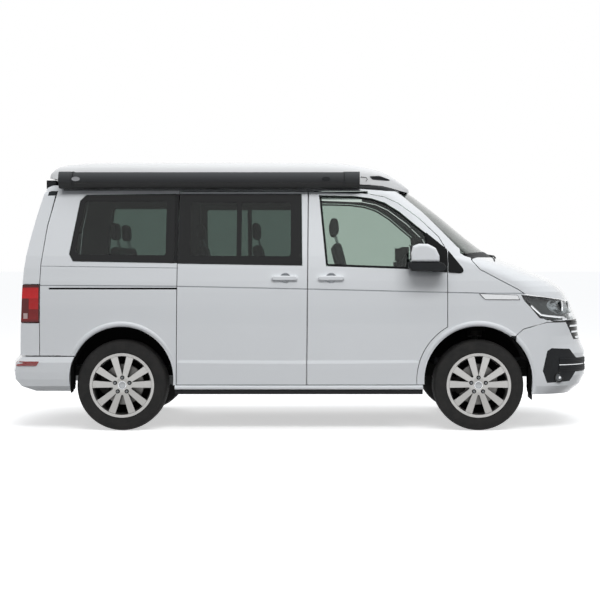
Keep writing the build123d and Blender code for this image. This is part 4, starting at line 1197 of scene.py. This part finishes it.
def makeRearPieces(s):
    light = slab(s["brakeLight"], s["brakeX"], 0.01, "YZ", corner=0.008, edge=0.002)
    finishPiece(light, "highBrakeLight", "body", "redLens", "lamp_red")
    y, z = s["wiperPivot"]
    pivot = hit("tailgate", (-4.0, y, z), (1, 0, 0))
    cap = turned([(0.004, 0.020), (-0.012, 0.020), (-0.018, 0.015), (-0.020, 0)], pivot, "X")
    stands = Vector((s["wiperStands"], 0, 0))
    line = []
    for share in (0.0, 0.3, 0.65, 1.0):
        across = y + (s["wiperTip"][0] - y) * share
        height = z + s["wiperRise"] + (s["wiperTip"][1] - z) * share
        line.append(hit("tailgate_glass", (-4.0, across, max(height, s["screenFoot"])), (1, 0, 0)) - stands)
    arm = swept([pivot - stands, pivot + Vector((-0.018, -0.03, 0.02))] + line[1:], 0.007)
    blade = swept([point + Vector((0.005, 0, -0.008)) for point in line], 0.005)
    finishPiece(joined([cap, arm, blade]), "rearWiper", "tailgate_lid", "seal", "dark_trim")


makeRearPieces(rearSettings)
print("rear pieces made")

caseSettings = {
    "x": (-1.9265, 0.4925),
    "seams": (-1.815, 0.364),
    "thick": 0.0035,
    "profile": [(-0.875, 1.946), (-0.901, 1.972), (-0.9075, 2.008), (-0.901, 2.046), (-0.878, 2.078), (-0.800, 2.0805),
                (-0.790, 2.068), (-0.790, 1.972), (-0.806, 1.946)],
    "coverShare": 0.9,               # of the thickness
    "jointWidth": 0.007,
    "jointGrow": (1.0008, 0.0004),   # share and length by which a joint stands off the case
    "jointFoot": (-0.800, 1.95),
    "bar": (-0.9055, 1.986),         # place across, height
    "barRadius": 0.0035,
    "barEnds": (0.02, -0.01),        # from the joints
    "badges": {"awningBadgeRear": (-1.785, "rail"), "awningBadgeFront": (0.222, "charcoal")},
    "badgePlace": (-0.9055, 2.018),
    "badgeShape": (1.5, 1, 0.8),     # a circle drawn out to an oval
}


def makeAwningEnds(s):
    # moulded covers on both ends of the case, and the fabric's front bar between them
    profile = s["profile"]
    for x, out, name in ((s["x"][0] + s["thick"], -1, "awningEndRear"), (s["x"][1] - s["thick"], 1, "awningEndFront")):
        cover = slab(profile, x, out * s["thick"] * s["coverShare"], "YZ", corner=0.006, edge=0.0012)
        finishPiece(cover, name, "body", "charcoal", "awning")
    for x, name in ((s["seams"][0], "awningJointRear"), (s["seams"][1], "awningJointFront")):
        grow, stands = s["jointGrow"]
        band = slab([(y * grow - stands, z + stands) for y, z in profile[:6]] + [s["jointFoot"]], x, s["jointWidth"],
                    "YZ", corner=0.004)
        finishPiece(band, name, "body", "charcoal", "awning")
    bar = swept([(seam + end, *s["bar"]) for seam, end in zip(s["seams"], s["barEnds"])], s["barRadius"], 8)
    finishPiece(bar, "awningFrontBar", "body", "pianoBlack", "awning")
    # bare oval plates on the moulded ends
    for name, (x, look) in s["badges"].items():
        middle = (x, *s["badgePlace"])
        plate = turned([(0.004, 0.022), (-0.0035, 0.022), (-0.005, 0.020), (-0.005, 0)], middle, segments=32)
        editing(plate)
        bpy.ops.transform.resize(value=s["badgeShape"], center_override=middle)
        objectMode()
        finishPiece(plate, name, "body", look, "awning")


makeAwningEnds(caseSettings)
print("awning ends made")

padSettings = {
    # size along the seat, across and thick before the filling swells it; width and depth of the raised bolster
    "cushion": {"size": (0.500, 0.455, 0.100), "bolster": 0.075, "sink": 0.016},
    "back": {"size": (0.690, 0.455, 0.078), "bolster": 0.070, "sink": 0.014},
    "head": {"size": (0.145, 0.235, 0.066), "bolster": 0.030, "sink": 0.004},
    "benchCushion": {"size": (0.500, 1.165, 0.100), "bolster": 0.060, "sink": 0.012},
    "benchBack": {"size": (0.660, 1.165, 0.078), "bolster": 0.060, "sink": 0.012},
    "voxel": 0.015,
    "pressure": 4.0,
    "cap": 0.010,            # how far the filling may push the cover
    "frames": 20,            # of filling
    "lean": 15.0,
    "seamDepth": 0.004,
    "seamHalf": 0.02,
    "seams": 0.22,           # share of the length, either side of the middle
    "sewnLength": 0.3,       # a shorter pad has no seams across
}


def makePad(name, s):
    # lies flat at the origin, face up: a bevelled block with a sunk middle, filled and sewn
    form = s[name]
    length, width, thick = form["size"]
    bpy.ops.mesh.primitive_cube_add(size=1.0, scale=(length, width, thick))
    pad = bpy.context.active_object
    editing(pad, "FACE")
    pick(pad, "FACE", lambda middle, normal: normal.z > 0.9)
    bpy.ops.mesh.inset(thickness=form["bolster"])
    bpy.ops.transform.translate(value=(0, 0, -form["sink"]))
    selectBy("EDGE")
    selectNone()
    bpy.ops.mesh.edges_select_sharp(sharpness=math.radians(50))
    bpy.ops.mesh.bevel(offset=min(0.028, thick * 0.4), segments=4)
    objectMode()
    apply(pad, "REMESH", mode="VOXEL", voxel_size=min(s["voxel"], thick / 6))
    inflate(pad, s)
    sewn(pad, form, s)
    apply(pad, "SUBSURF", levels=1, render_levels=1)
    return pad


def inflate(pad, s):
    start = [vertex.co.copy() for vertex in pad.data.vertices]
    only(pad)
    bpy.ops.object.modifier_add(type="CLOTH")
    cloth = pad.modifiers[-1]
    cloth.settings.use_pressure = True
    cloth.settings.uniform_pressure_force = s["pressure"]
    cloth.settings.effector_weights.gravity = 0
    cloth.point_cache.frame_start = 1
    cloth.point_cache.frame_end = s["frames"]
    for step in range(1, s["frames"] + 1):
        bpy.context.scene.frame_set(step)
    bpy.ops.object.modifier_apply(modifier=cloth.name)
    for vertex, home in zip(pad.data.vertices, start):
        push = vertex.co - home
        if push.length > s["cap"]:
            vertex.co = home + push.normalized() * s["cap"]
    bpy.context.scene.frame_set(1)


def sewn(pad, form, s):
    # seams pull the cover in along the edges of the bolsters and across the middle
    length, width = form["size"][:2]
    lines = [width / 2 - form["bolster"], form["bolster"] - width / 2]
    for vertex in pad.data.vertices:
        x, y, z = vertex.co
        if z < 0:
            continue
        near = min(abs(y - line) for line in lines)
        if length > s["sewnLength"]:
            seam = length * s["seams"]
            near = min(near, abs(x - seam), abs(x + seam) if abs(y) < lines[0] else near)
        if near < s["seamHalf"]:
            vertex.co.z -= s["seamDepth"] * (1 - near / s["seamHalf"]) ** 2 * 2


seatPlaces = {
    # seat: place along and across, top of the headrest
    "frontRight": (0.700, -0.400, 1.730),
    "frontLeft": (0.700, 0.400, 1.730),
    "middleRight": (0.040, -0.420, 1.692),
    "middleLeft": (-0.480, 0.330, 1.700),
}
bench = {"x": -1.152, "top": 1.692, "heads": (-0.330, 0.330)}
seatBase = {
    "floor": 0.5, "top": 0.812, "back": -0.200, "front": 0.210,
    "flare": (-0.03, 0.02),      # of the top, rear and front
    "width": 0.42, "benchWidth": 1.12,
    "panel": (0.03, 0.006),      # rim and depth of the sunk side panels
}
seatForm = {
    # a pad's place from its seat's: along, height; a headrest's height and the posts' are from its top
    "cushion": (0.005, 0.862),
    "back": (-0.303, 1.182), "benchBack": (-0.296, 1.163),
    "head": (-0.405, -0.085), "benchHead": (-0.395, -0.085),
    "headLean": 4,
    "top": 1.730,            # headrest top at which a back stands at its height
    "slope": 0.27,           # how far a lower headrest comes forward for each metre
    "posts": ((-0.362, -0.26), (-0.405, -0.10)),
    "postHalf": 0.05,
    "postRadius": 0.006,
}


def placePad(pad, name, place, lean=None):
    # a copy of the flat pad, leaned back if it is a back or a headrest, and set in its place
    copy = copied(pad, name)
    if lean is not None:
        copy.rotation_euler = (0, math.radians(90 - lean), 0)
    copy.location = place
    finishPiece(copy, name, "body", "cloth", "seat_fabric", 60)
    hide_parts("seats")


def makeSeats(s):
    pads = {name: makePad(name, s) for name in ("cushion", "back", "head", "benchCushion", "benchBack")}
    print("pads filled")
    (cushionX, cushionZ), (backX, backZ), (headX, headZ) = (seatForm[key] for key in ("cushion", "back", "head"))
    lean, headLean = s["lean"], seatForm["headLean"]
    for name, (x, y, top) in seatPlaces.items():
        lower = seatForm["top"] - top
        placePad(pads["cushion"], "seatCushion_" + name, (x + cushionX, y, cushionZ))
        placePad(pads["back"], "seatBack_" + name, (x + backX, y, backZ - lower / 2), lean)
        headPlace = (x + headX + lower * seatForm["slope"], y, top + headZ)
        placePad(pads["head"], "headrest_" + name, headPlace, headLean)
    x, (backX, backZ), (headX, headZ) = bench["x"], seatForm["benchBack"], seatForm["benchHead"]
    placePad(pads["benchCushion"], "benchCushion", (x + cushionX, 0, cushionZ))
    placePad(pads["benchBack"], "benchBack", (x + backX, 0, backZ), lean)
    for index, y in enumerate(bench["heads"]):
        placePad(pads["head"], "benchHeadrest_" + str(index + 1), (x + headX, y, bench["top"] + headZ), headLean)
    for pad in pads.values():
        only(pad)
        bpy.ops.object.delete()
    makeSeatFrames()


def makeSeatFrames():
    # moulded seat boxes and the headrests' steel posts
    rows = [(name, x, y, seatBase["width"], top, (0,)) for name, (x, y, top) in seatPlaces.items()]
    rows.append(("bench", bench["x"], 0.0, seatBase["benchWidth"], bench["top"], bench["heads"]))
    for name, x, y, width, top, heads in rows:
        back, front = x + seatBase["back"], x + seatBase["front"]
        rearFlare, frontFlare = seatBase["flare"]
        outline = [(back, seatBase["floor"]), (front, seatBase["floor"]), (front + frontFlare, seatBase["top"]),
                   (back + rearFlare, seatBase["top"])]
        box = slab(outline, y - width / 2, width, corner=0.02, edge=0.006)
        panelled(box, 1, *seatBase["panel"])
        finishPiece(box, "seatBox_" + name, "body", "cabin", "cabin")
        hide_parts("seats")
        forward = x + (seatForm["top"] - top) * seatForm["slope"]
        posts = [swept([(forward + offset, y + head + side, top + drop) for offset, drop in seatForm["posts"]],
                       seatForm["postRadius"], 8)
                 for head in heads for side in (-seatForm["postHalf"], seatForm["postHalf"])]
        finishPiece(joined(posts), "headrestPosts_" + name, "body", "chrome", "steel")


makeSeats(padSettings)
print("seats made")

bellowsSettings = {
    "x": (-1.784, 0.594), "half": 0.594,
    "z": (1.978, 2.068),
    "pleats": 10,
    "fold": 0.018,
    "thick": 0.0012,
}


def makeBellows(s):
    # the tent wall, folded in pleats between the roof and the lid
    low, high = s["z"]
    rear, front = s["x"]
    middle = ((rear + front) / 2, 0, 0)
    halfLength = (front - rear) / 2
    wall = outlined(rectangle(rear, front, -s["half"], s["half"]), low, "XY", corner=0.05, steps=5)
    selectBy("FACE")
    selectAll()
    bpy.ops.mesh.delete(type="ONLY_FACE")
    selectBy("EDGE")
    selectAll()
    subdivide(7)
    rise = (high - low) / (2 * s["pleats"])
    shrink = ((halfLength - s["fold"]) / halfLength, (s["half"] - s["fold"]) / s["half"], 1)
    for row in range(2 * s["pleats"]):
        extrude((0, 0, rise))
        size = shrink if row % 2 == 0 else [1 / value for value in shrink]
        bpy.ops.transform.resize(value=size, center_override=middle)
    outward()
    objectMode()
    apply(wall, "SOLIDIFY", thickness=s["thick"], offset=-1.0)
    finishPiece(wall, "tentWall", None, "bellows", "bellows_fabric", 20)   # not attached to a body
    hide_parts("roof_bellows")
    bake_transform(wall)


makeBellows(bellowsSettings)
print("tent wall made")

exhaustSettings = {
    "pipe": [(0.95, 0.20, 0.370), (0.30, 0.20, 0.366), (-0.60, 0.17, 0.366), (-1.18, 0.15, 0.370), (-1.30, 0.15, 0.436),
             (-1.52, 0.15, 0.436), (-1.62, 0.15, 0.392), (-1.68, 0.15, 0.385)],
    "tail": [(-2.08, 0.15, 0.385), (-2.18, 0.20, 0.360), (-2.29, 0.28, 0.330)],
    "radius": 0.026,
    "silencer": (0.15, 0.385),       # place across, height
    "tank": rectangle(-1.02, -0.42, -0.34, -0.03),
    "tankStands": (0.285, 0.178),    # bottom, height
    "straps": (-0.88, -0.56),
    "strapHalf": 0.018,
    "strapAcross": (-0.345, -0.025),
    "strapStands": (0.2815, 0.184),
}


def makeUnderside(s):
    y, z = s["silencer"]
    drum = turned([(-2.10, 0.030), (-2.085, 0.066), (-2.06, 0.074), (-1.86, 0.0745), (-1.68, 0.074), (-1.66, 0.066),
                   (-1.645, 0.030)], (0, y, z), "X", 28)
    pipes = [swept(s["pipe"], s["radius"], 14), swept(s["tail"], s["radius"] * 0.9, 14), drum]
    finishPiece(joined(pipes), "exhaust", "body", "steel", "steel")
    tank = slab(s["tank"], *s["tankStands"], "XY", corner=0.05, edge=0.02)
    finishPiece(tank, "fuelTank", "body", "charcoal", "dark_trim")
    straps = [slab(rectangle(x - s["strapHalf"], x + s["strapHalf"], *s["strapAcross"]), *s["strapStands"], "XY",
                   edge=0.001) for x in s["straps"]]
    finishPiece(joined(straps), "tankStraps", "body", "steel", "steel")


makeUnderside(exhaustSettings)
print("underside made")


def lofted(section, stations):
    # a section across the vehicle, extruded from station to station and scaled at each one
    # a station is: place along, width share, bottom, top
    x, width, low, high = stations[0]
    tall = max(z for y, z in section)
    piece = chained([Vector((x, y * width, low + z * (high - low) / tall)) for y, z in section])
    selectBy("EDGE")
    selectAll()
    for nextX, nextWidth, nextLow, nextHigh in stations[1:]:
        extrude((nextX - x, 0, nextLow - low))
        share = (1, nextWidth / width, (nextHigh - nextLow) / (high - low))
        bpy.ops.transform.resize(value=share, center_override=(nextX, 0, nextLow))
        x, width, low, high = nextX, nextWidth, nextLow, nextHigh
    objectMode()
    return piece


roofShell = {
    "section": [(-0.702, 0), (-0.702, 0.095), (-0.697, 0.124), (-0.680, 0.146), (-0.650, 0.160), (-0.590, 0.169),
                (-0.440, 0.184), (-0.230, 0.196), (0.0, 0.200), (0.230, 0.196), (0.440, 0.184), (0.590, 0.169),
                (0.650, 0.160), (0.680, 0.146), (0.697, 0.124), (0.702, 0.095), (0.702, 0)],
    # place along, width share, bottom, top
    "stations": [(-2.034, 0.955, 2.034, 2.062), (-2.026, 0.972, 2.032, 2.090), (-2.000, 0.988, 2.030, 2.124),
                 (-1.955, 0.996, 2.024, 2.158), (-1.880, 1.0, 1.990, 2.182), (-1.750, 1.0, 1.985, 2.195),
                 (-1.500, 1.0, 1.985, 2.201), (-0.600, 1.0, 1.985, 2.202), (0.200, 1.0, 1.985, 2.201),
                 (0.350, 1.0, 1.985, 2.194), (0.460, 0.998, 1.985, 2.178), (0.580, 0.993, 1.983, 2.150),
                 (0.690, 0.978, 1.972, 2.114), (0.780, 0.950, 1.950, 2.062), (0.850, 0.905, 1.930, 2.006),
                 (0.892, 0.850, 1.922, 1.970), (0.906, 0.820, 1.924, 1.955)],
    "thick": 0.012,
    "recess": [(0.576, 2.052), (0.657, 2.056), (0.748, 2.024), (0.735, 2.016), (0.600, 2.026)],
    "recessStands": (0.002, 0.003),      # lift and thickness
    "claspY": 0.7035,
    "clasp": [(0.505, 2.046), (0.548, 2.044), (0.560, 2.028), (0.548, 2.010)],
    "sealPath": [(-1.86, -0.700), (0.50, -0.700), (0.66, -0.684), (0.76, -0.655), (0.83, -0.612), (0.858, -0.560),
                 (0.870, -0.400), (0.876, 0.0)],
    "sealHeights": [1.972, 1.972, 1.957, 1.938, 1.922, 1.920, 1.934, 1.950],
    "sealRadius": 0.014,
}


def makeRoofShell(s):
    shell = lofted(s["section"], s["stations"])
    editing(shell)
    # both ends are closed with a row of faces across
    for x in (s["stations"][0][0], s["stations"][-1][0]):
        pick(shell, "EDGE", lambda middle, direction: abs(middle.x - x) < 1e-4 and abs(direction.x) < 0.1)
        bpy.ops.mesh.edge_face_add()
    selectAll()
    bpy.ops.mesh.normals_make_consistent(inside=False)
    objectMode()
    # the sheet is open below, so the direction is settled by its top
    top = max(shell.data.polygons, key=lambda face: face.center.z)
    if top.normal.z < 0:
        editing(shell)
        bpy.ops.mesh.flip_normals()
        objectMode()
    apply(shell, "SOLIDIFY", thickness=s["thick"], offset=-1.0)
    finishPiece(shell, "popRoofShell", "roof_lid", "gelcoat", "roof_paint", 40)
    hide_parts("pop_roof")
    for level, side in sides:
        # a charcoal sheet laid on the shell where the nose has a recess: painted shade standing in for the hollow
        recess = outlined(s["recess"], level, corner=0.010)
        subdivide(3)
        bpy.ops.mesh.poke()
        subdivide(2)
        laid(recess, shell, level, *s["recessStands"])
        finishPiece(recess, "roofRecessShade_" + side, "roof_lid", "charcoal", "dark_trim")
        y = math.copysign(s["claspY"], level)
        clasp = swept([(x, y, z) for x, z in s["clasp"]], 0.0022, 6)
        finishPiece(clasp, "roofClaspLine_" + side, "roof_lid", "seal", "dark_trim")


def makeRoofSeal(s):
    half = [(x, y, z) for (x, y), z in zip(s["sealPath"], s["sealHeights"])]
    path = half + [(x, -y, z) for x, y, z in reversed(half[:-1])]
    seal = swept(path, s["sealRadius"], 12)
    finishPiece(seal, "roofSeal", "body", "seal", "dark_trim", 60)


makeRoofShell(roofShell)
makeRoofSeal(roofShell)
print("roof shell made")

brakes = {
    "disc": (0.166, 0.026),      # radius and thickness
    "hole": 0.075,
    "bevel": (0.003, 0.004),     # off the faces, off the rim
    "vent": (0.004, 0.012),      # half width and depth of the groove round the rim
    "discY": -0.806,             # middle of the disc
    "shield": 0.232,
    "shieldY": -0.752,
    "caliper": [(-0.155, 0.075), (-0.098, 0.040), (-0.098, -0.045), (-0.155, -0.080), (-0.183, -0.050), (-0.192, 0.0),
                (-0.183, 0.050)],      # from the hub's middle
    "caliperY": (-0.842, 0.075),       # outer face and width
}


def makeBrakes(s):
    x = wheels["front_right"][0]
    z = wheelPlace["z"]
    radius, thick = s["disc"]
    y = s["discY"]
    (vent, deep), (offFace, offRim) = s["vent"], s["bevel"]
    disc = turned([(-thick / 2, s["hole"]), (-thick / 2, radius - offRim), (-thick / 2 + offFace, radius),
                   (-vent, radius), (-vent, radius - deep), (vent, radius - deep), (vent, radius), (thick / 2, radius),
                   (thick / 2, s["hole"])], (x, y, z), segments=64, ring=True)
    onWheels(disc, "brakeDisc", "disc", "steel")
    home = (x, s["shieldY"], z)
    shield = turned([(0.0, 0.060), (0.0, 0.150), (-0.010, 0.170), (-0.010, s["shield"] - 0.006),
                     (-0.018, s["shield"]), (-0.015, s["shield"] + 0.002), (0.004, s["shield"] - 0.004),
                     (0.004, 0.060)], home, segments=56, ring=True)
    caliper = slab([(x + u, z + v) for u, v in s["caliper"]], *s["caliperY"], corner=0.012, edge=0.006)
    for base, name, look, slot in ((shield, "brakeShield", "arch", "cast"), (caliper, "brakeCaliper", "cast", "cast")):
        for wheel, (place, side) in wheels.items():
            body = "knuckle_" + wheel.split("_")[1] + "_body" if "front" in wheel else "body"
            copy = copied(base, name + "_" + wheel, (place - x, 0, 0), mirrored=side > 0)
            finishPiece(copy, name + "_" + wheel, body, look, slot)
        only(base)
        bpy.ops.object.delete()


makeBrakes(brakes)
print("brakes made")

sailSettings = {
    # black panel at the foot of the A-pillar: the part on the door, and the part ahead of its gap
    "door": [(1.022, 1.592), (1.193, 1.452), (1.193, 1.270), (1.068, 1.274), (1.060, 1.330)],
    "wing": [(1.199, 1.447), (1.318, 1.300), (1.322, 1.276), (1.296, 1.262), (1.199, 1.268)],
    "lift": 0.0025,
    "thick": 0.005,
}
# height, half width of the body's skin
bodyHalf = [(1.155, 0.946), (1.250, 0.938), (1.400, 0.918), (1.550, 0.884), (1.750, 0.838), (1.900, 0.803)]


def makeSails(s):
    for level, side in sides:
        for key, name, body in (("door", "mirrorSail_", "door_" + side), ("wing", "pillarSail_", "body")):
            panel = outlined(s[key], level, corner=0.010)
            subdivide(3)
            objectMode()
            for vertex in panel.data.vertices:
                vertex.co.y = math.copysign(halfWidth(vertex.co.z) - s["lift"], level)
            thickened(panel, s["thick"])
            finishPiece(panel, name + side, body, "seal", "dark_trim")


def halfWidth(z):
    for (lowZ, low), (highZ, high) in zip(bodyHalf, bodyHalf[1:]):
        if z <= highZ:
            return low + (high - low) * (z - lowZ) / (highZ - lowZ)


makeSails(sailSettings)
print("mirror sails made")

handleSettings = {
    # grab handle on the inner face of the front pillar, between two heights
    "heights": (1.665, 1.570),
    "x": 0.70,               # where the search for the pillar starts
    "step": 0.01,
    "inner": (0.5, 0.95),    # half widths between which the pillar lies
    "bow": [(-0.022, 0.024, -0.010), (-0.042, 0.030, -0.022), (-0.030, 0.026, 0.002)],
    "radius": 0.009,
}


def makeHandle(s):
    top, low = (onPillar(z, s) for z in s["heights"])
    first, middle, last = (Vector(point) for point in s["bow"])
    path = [top, top + first, (top + low) / 2 + middle, low + last, low]
    bothSides(swept(path, s["radius"], 10), "grabHandle", "body", "cabin", "cabin", 60)


def onPillar(z, s):
    # the rearmost place at a height where a look across the cabin meets the pillar
    for step in range(60):
        place = hit("pillars", (s["x"] + s["step"] * step, 0, z), (0, -1, 0))
        if s["inner"][0] < -place.y < s["inner"][1]:
            return place


makeHandle(handleSettings)
print("grab handles made")

noseSettings = {
    "barHeights": (0.743, 0.790, 0.837, 0.892),
    "barY": (-0.565, -0.60, -0.64, -0.68, -0.71, -0.74, -0.765, -0.785, -0.80, -0.82, -0.845),
    "barEnds": (-0.71, -0.765, -0.785, -0.845),
    "barRadius": 0.0085,
    "barStands": 0.004,              # middle of a bar off the skin
    # light strip inside the lamp's lower edge, and the black frame round the lamp
    "strip": [(1.852, 1.004), (1.892, 0.966), (1.934, 0.930), (1.985, 0.922), (2.05, 0.915), (2.11, 0.909),
              (2.16, 0.903)],
    "frame": [(2.165, 0.874), (2.10, 0.876), (2.04, 0.880), (1.985, 0.886), (1.925, 0.908), (1.880, 0.960),
              (1.820, 1.035), (1.785, 1.076), (1.86, 1.074), (1.96, 1.064), (2.06, 1.052)],
    "lampEye": (0.1, -1.2),          # where a look at the lamp starts: ahead of the place, across
    "lampLook": (-0.1, 0.28, 0),
    "lampInward": (-0.2, 1, 0),
    "trimBars": (0.500, 0.560),      # heights of the raised bars in the bumper trim
    "trimBarRises": (-0.014, 0.0, 0.014),
    "trimY": (-0.60, -0.66, -0.72, -0.77, -0.81, -0.845, -0.872, -0.892),
    "trimStands": 0.001,
    "chromeZ": 0.5295,
    "chromeRadius": 0.0045,
    "fog": (2.070, -0.868, 0.428),
    "fogAim": (0.40, -0.92, 0.0),
    "fogReach": 0.8,
    # profiles of offset and radius, and segments
    "fogProfiles": {
        "fogLampRing": ([(-0.012, 0.042), (0.003, 0.042), (0.006, 0.039), (0.002, 0.034), (-0.012, 0.033)], 32),
        "fogLampLens": ([(-0.010, 0.0335), (-0.003, 0.033), (0.002, 0.026), (0.004, 0.014), (0.0045, 0)], 32),
        "fogLampBulb": ([(0.0045, 0.011), (0.007, 0.010), (0.009, 0.005), (0.0092, 0)], 20),
    },
    "fogLooks": {"fogLampRing": ("pianoBlack", "dark_trim"), "fogLampLens": ("projectorGlass", "lamp_clear"),
                 "fogLampBulb": ("chrome", "alloy")},
}


def onNose(nodeNames, y, z, out):
    # the outermost of some CAD pieces at a place on the nose, seen from ahead and outside
    aim = Vector((2.0, y, z))
    start = aim + Vector((0.8, math.copysign(0.25, y), 0))
    hits = [nodes[name].ray_cast(start, (aim - start).normalized())[:3] for name in nodeNames]
    hits = [(place, normal) for found, place, normal in hits if found]
    if hits:
        place, normal = min(hits, key=lambda pair: (pair[0] - start).length)
        return place + normal * out


def noseLine(nodeNames, across, z, out):
    points = [onNose(nodeNames, y, z, out) for y in across]
    return [point for point in points if point]


def makeNoseBars(s):
    # chromed bars carried round the corners of the nose, from the grille to the wings
    skinNodes = ["front_bumper", "front_wings", "headlamp_covers"]
    bars = [swept(noseLine(skinNodes, [y for y in s["barY"] if y >= end], z, s["barStands"]), s["barRadius"], 10)
            for z, end in zip(s["barHeights"], s["barEnds"])]
    bothSides(joined(bars), "noseBars", "body", "chrome", "alloy")
    trimNodes = ["lower_trims", "front_bumper"]
    raised = [swept(noseLine(trimNodes, s["trimY"], z + rise, s["trimStands"]), s["barRadius"], 8)
              for z in s["trimBars"] for rise in s["trimBarRises"]]
    bothSides(joined(raised), "bumperTrimBars", "body", "charcoal", "dark_trim")
    strip = swept(noseLine(trimNodes, s["trimY"][1:], s["chromeZ"], s["barStands"]), s["chromeRadius"], 8)
    bothSides(strip, "bumperChromeStrip", "body", "chrome", "alloy")


def makeFogLamps(s):
    aim = Vector(s["fogAim"]).normalized()
    seat = hit("lower_trims", Vector(s["fog"]) + aim * s["fogReach"], -aim)
    pieces = {name: turned(rows, (0, 0, 0), "X", steps, ring=name.endswith("Ring"))
              for name, (rows, steps) in s["fogProfiles"].items()}
    for name, piece in pieces.items():
        piece.rotation_euler = (0, 0, math.atan2(aim.y, aim.x))
        piece.location = seat
        bothSides(piece, name, "body", *s["fogLooks"][name])


def makeLightStrip(s):
    # the bright strip inside the lamp's lower edge, and the black frame round the lamp
    for line, radius, sink, name, look in ((s["strip"], 0.0095, 0.004, "lightStrip", "chrome"),
                                           (s["frame"], 0.007, 0.003, "lampFrame", "pianoBlack")):
        points = []
        for x, z in line:
            start = Vector((x + s["lampEye"][0], s["lampEye"][1], z))
            places = [hit(node, start, s["lampLook"]) for node in ("headlamp_covers", "front_wings", "front_bumper")]
            places = [place for place in places if (place - start).length > 0.001]
            points.append(min(places, key=lambda place: (place - start).length) + Vector(s["lampInward"]) * sink)
        bothSides(swept(points, radius, 8), name, "body", look, "lamp_clear")


makeNoseBars(noseSettings)
makeFogLamps(noseSettings)
makeLightStrip(noseSettings)
print("nose pieces made")

linerSettings = {
    # black liners between the wheels and the ends of the bumpers: place along, bottom, top, thickness
    "front": (1.853, 0.300, 0.560, 0.010),
    "rear": (-1.812, 0.322, 0.560, -0.010),
    "across": (-0.905, -0.775),
    "slopes": (0.004, 0.02),      # of the outer edge, of the foot
    "panel": (0.02, 0.002),       # rim and depth of the sunk faces
    "flap": [(-0.900, 0.246), (-0.900, 0.300), (-0.700, 0.300), (-0.700, 0.252)],
    "flapX": (1.868, 0.006),      # place along and thickness
}


def makeLiners(s):
    (outer, inner), (side, foot) = s["across"], s["slopes"]
    for name in ("front", "rear"):
        x, low, high, thick = s[name]
        panel = slab([(outer, low), (outer + side, high), (inner, high), (inner, low + foot)], x, thick, "YZ",
                     corner=0.008, edge=0.002)
        panelled(panel, 0, *s["panel"])
        bothSides(panel, name + "ArchLiner", "body", "arch", "dark_trim")
    flap = slab(s["flap"], *s["flapX"], "YZ", corner=0.01, edge=0.001)
    bothSides(flap, "frontAirFlap", "body", "seal", "dark_trim")


makeLiners(linerSettings)
print("liners made")

glassBorders = {
    "tailOuter": [(-0.741, 1.292), (0.741, 1.292), (0.680, 1.849), (-0.680, 1.849)],
    "tailInner": [(-0.640, 1.372), (0.640, 1.372), (0.600, 1.790), (-0.600, 1.790)],
}


def makeTailBorder(s):
    border = bordered(s["tailOuter"], s["tailInner"], -3.0, "tailgate_glass", (0.03, 0.05), "YZ")
    finishPiece(border, "tailGlassBorder", "tailgate_lid", "frit", "dark_trim")


makeTailBorder(glassBorders)
print("tail glass border made")
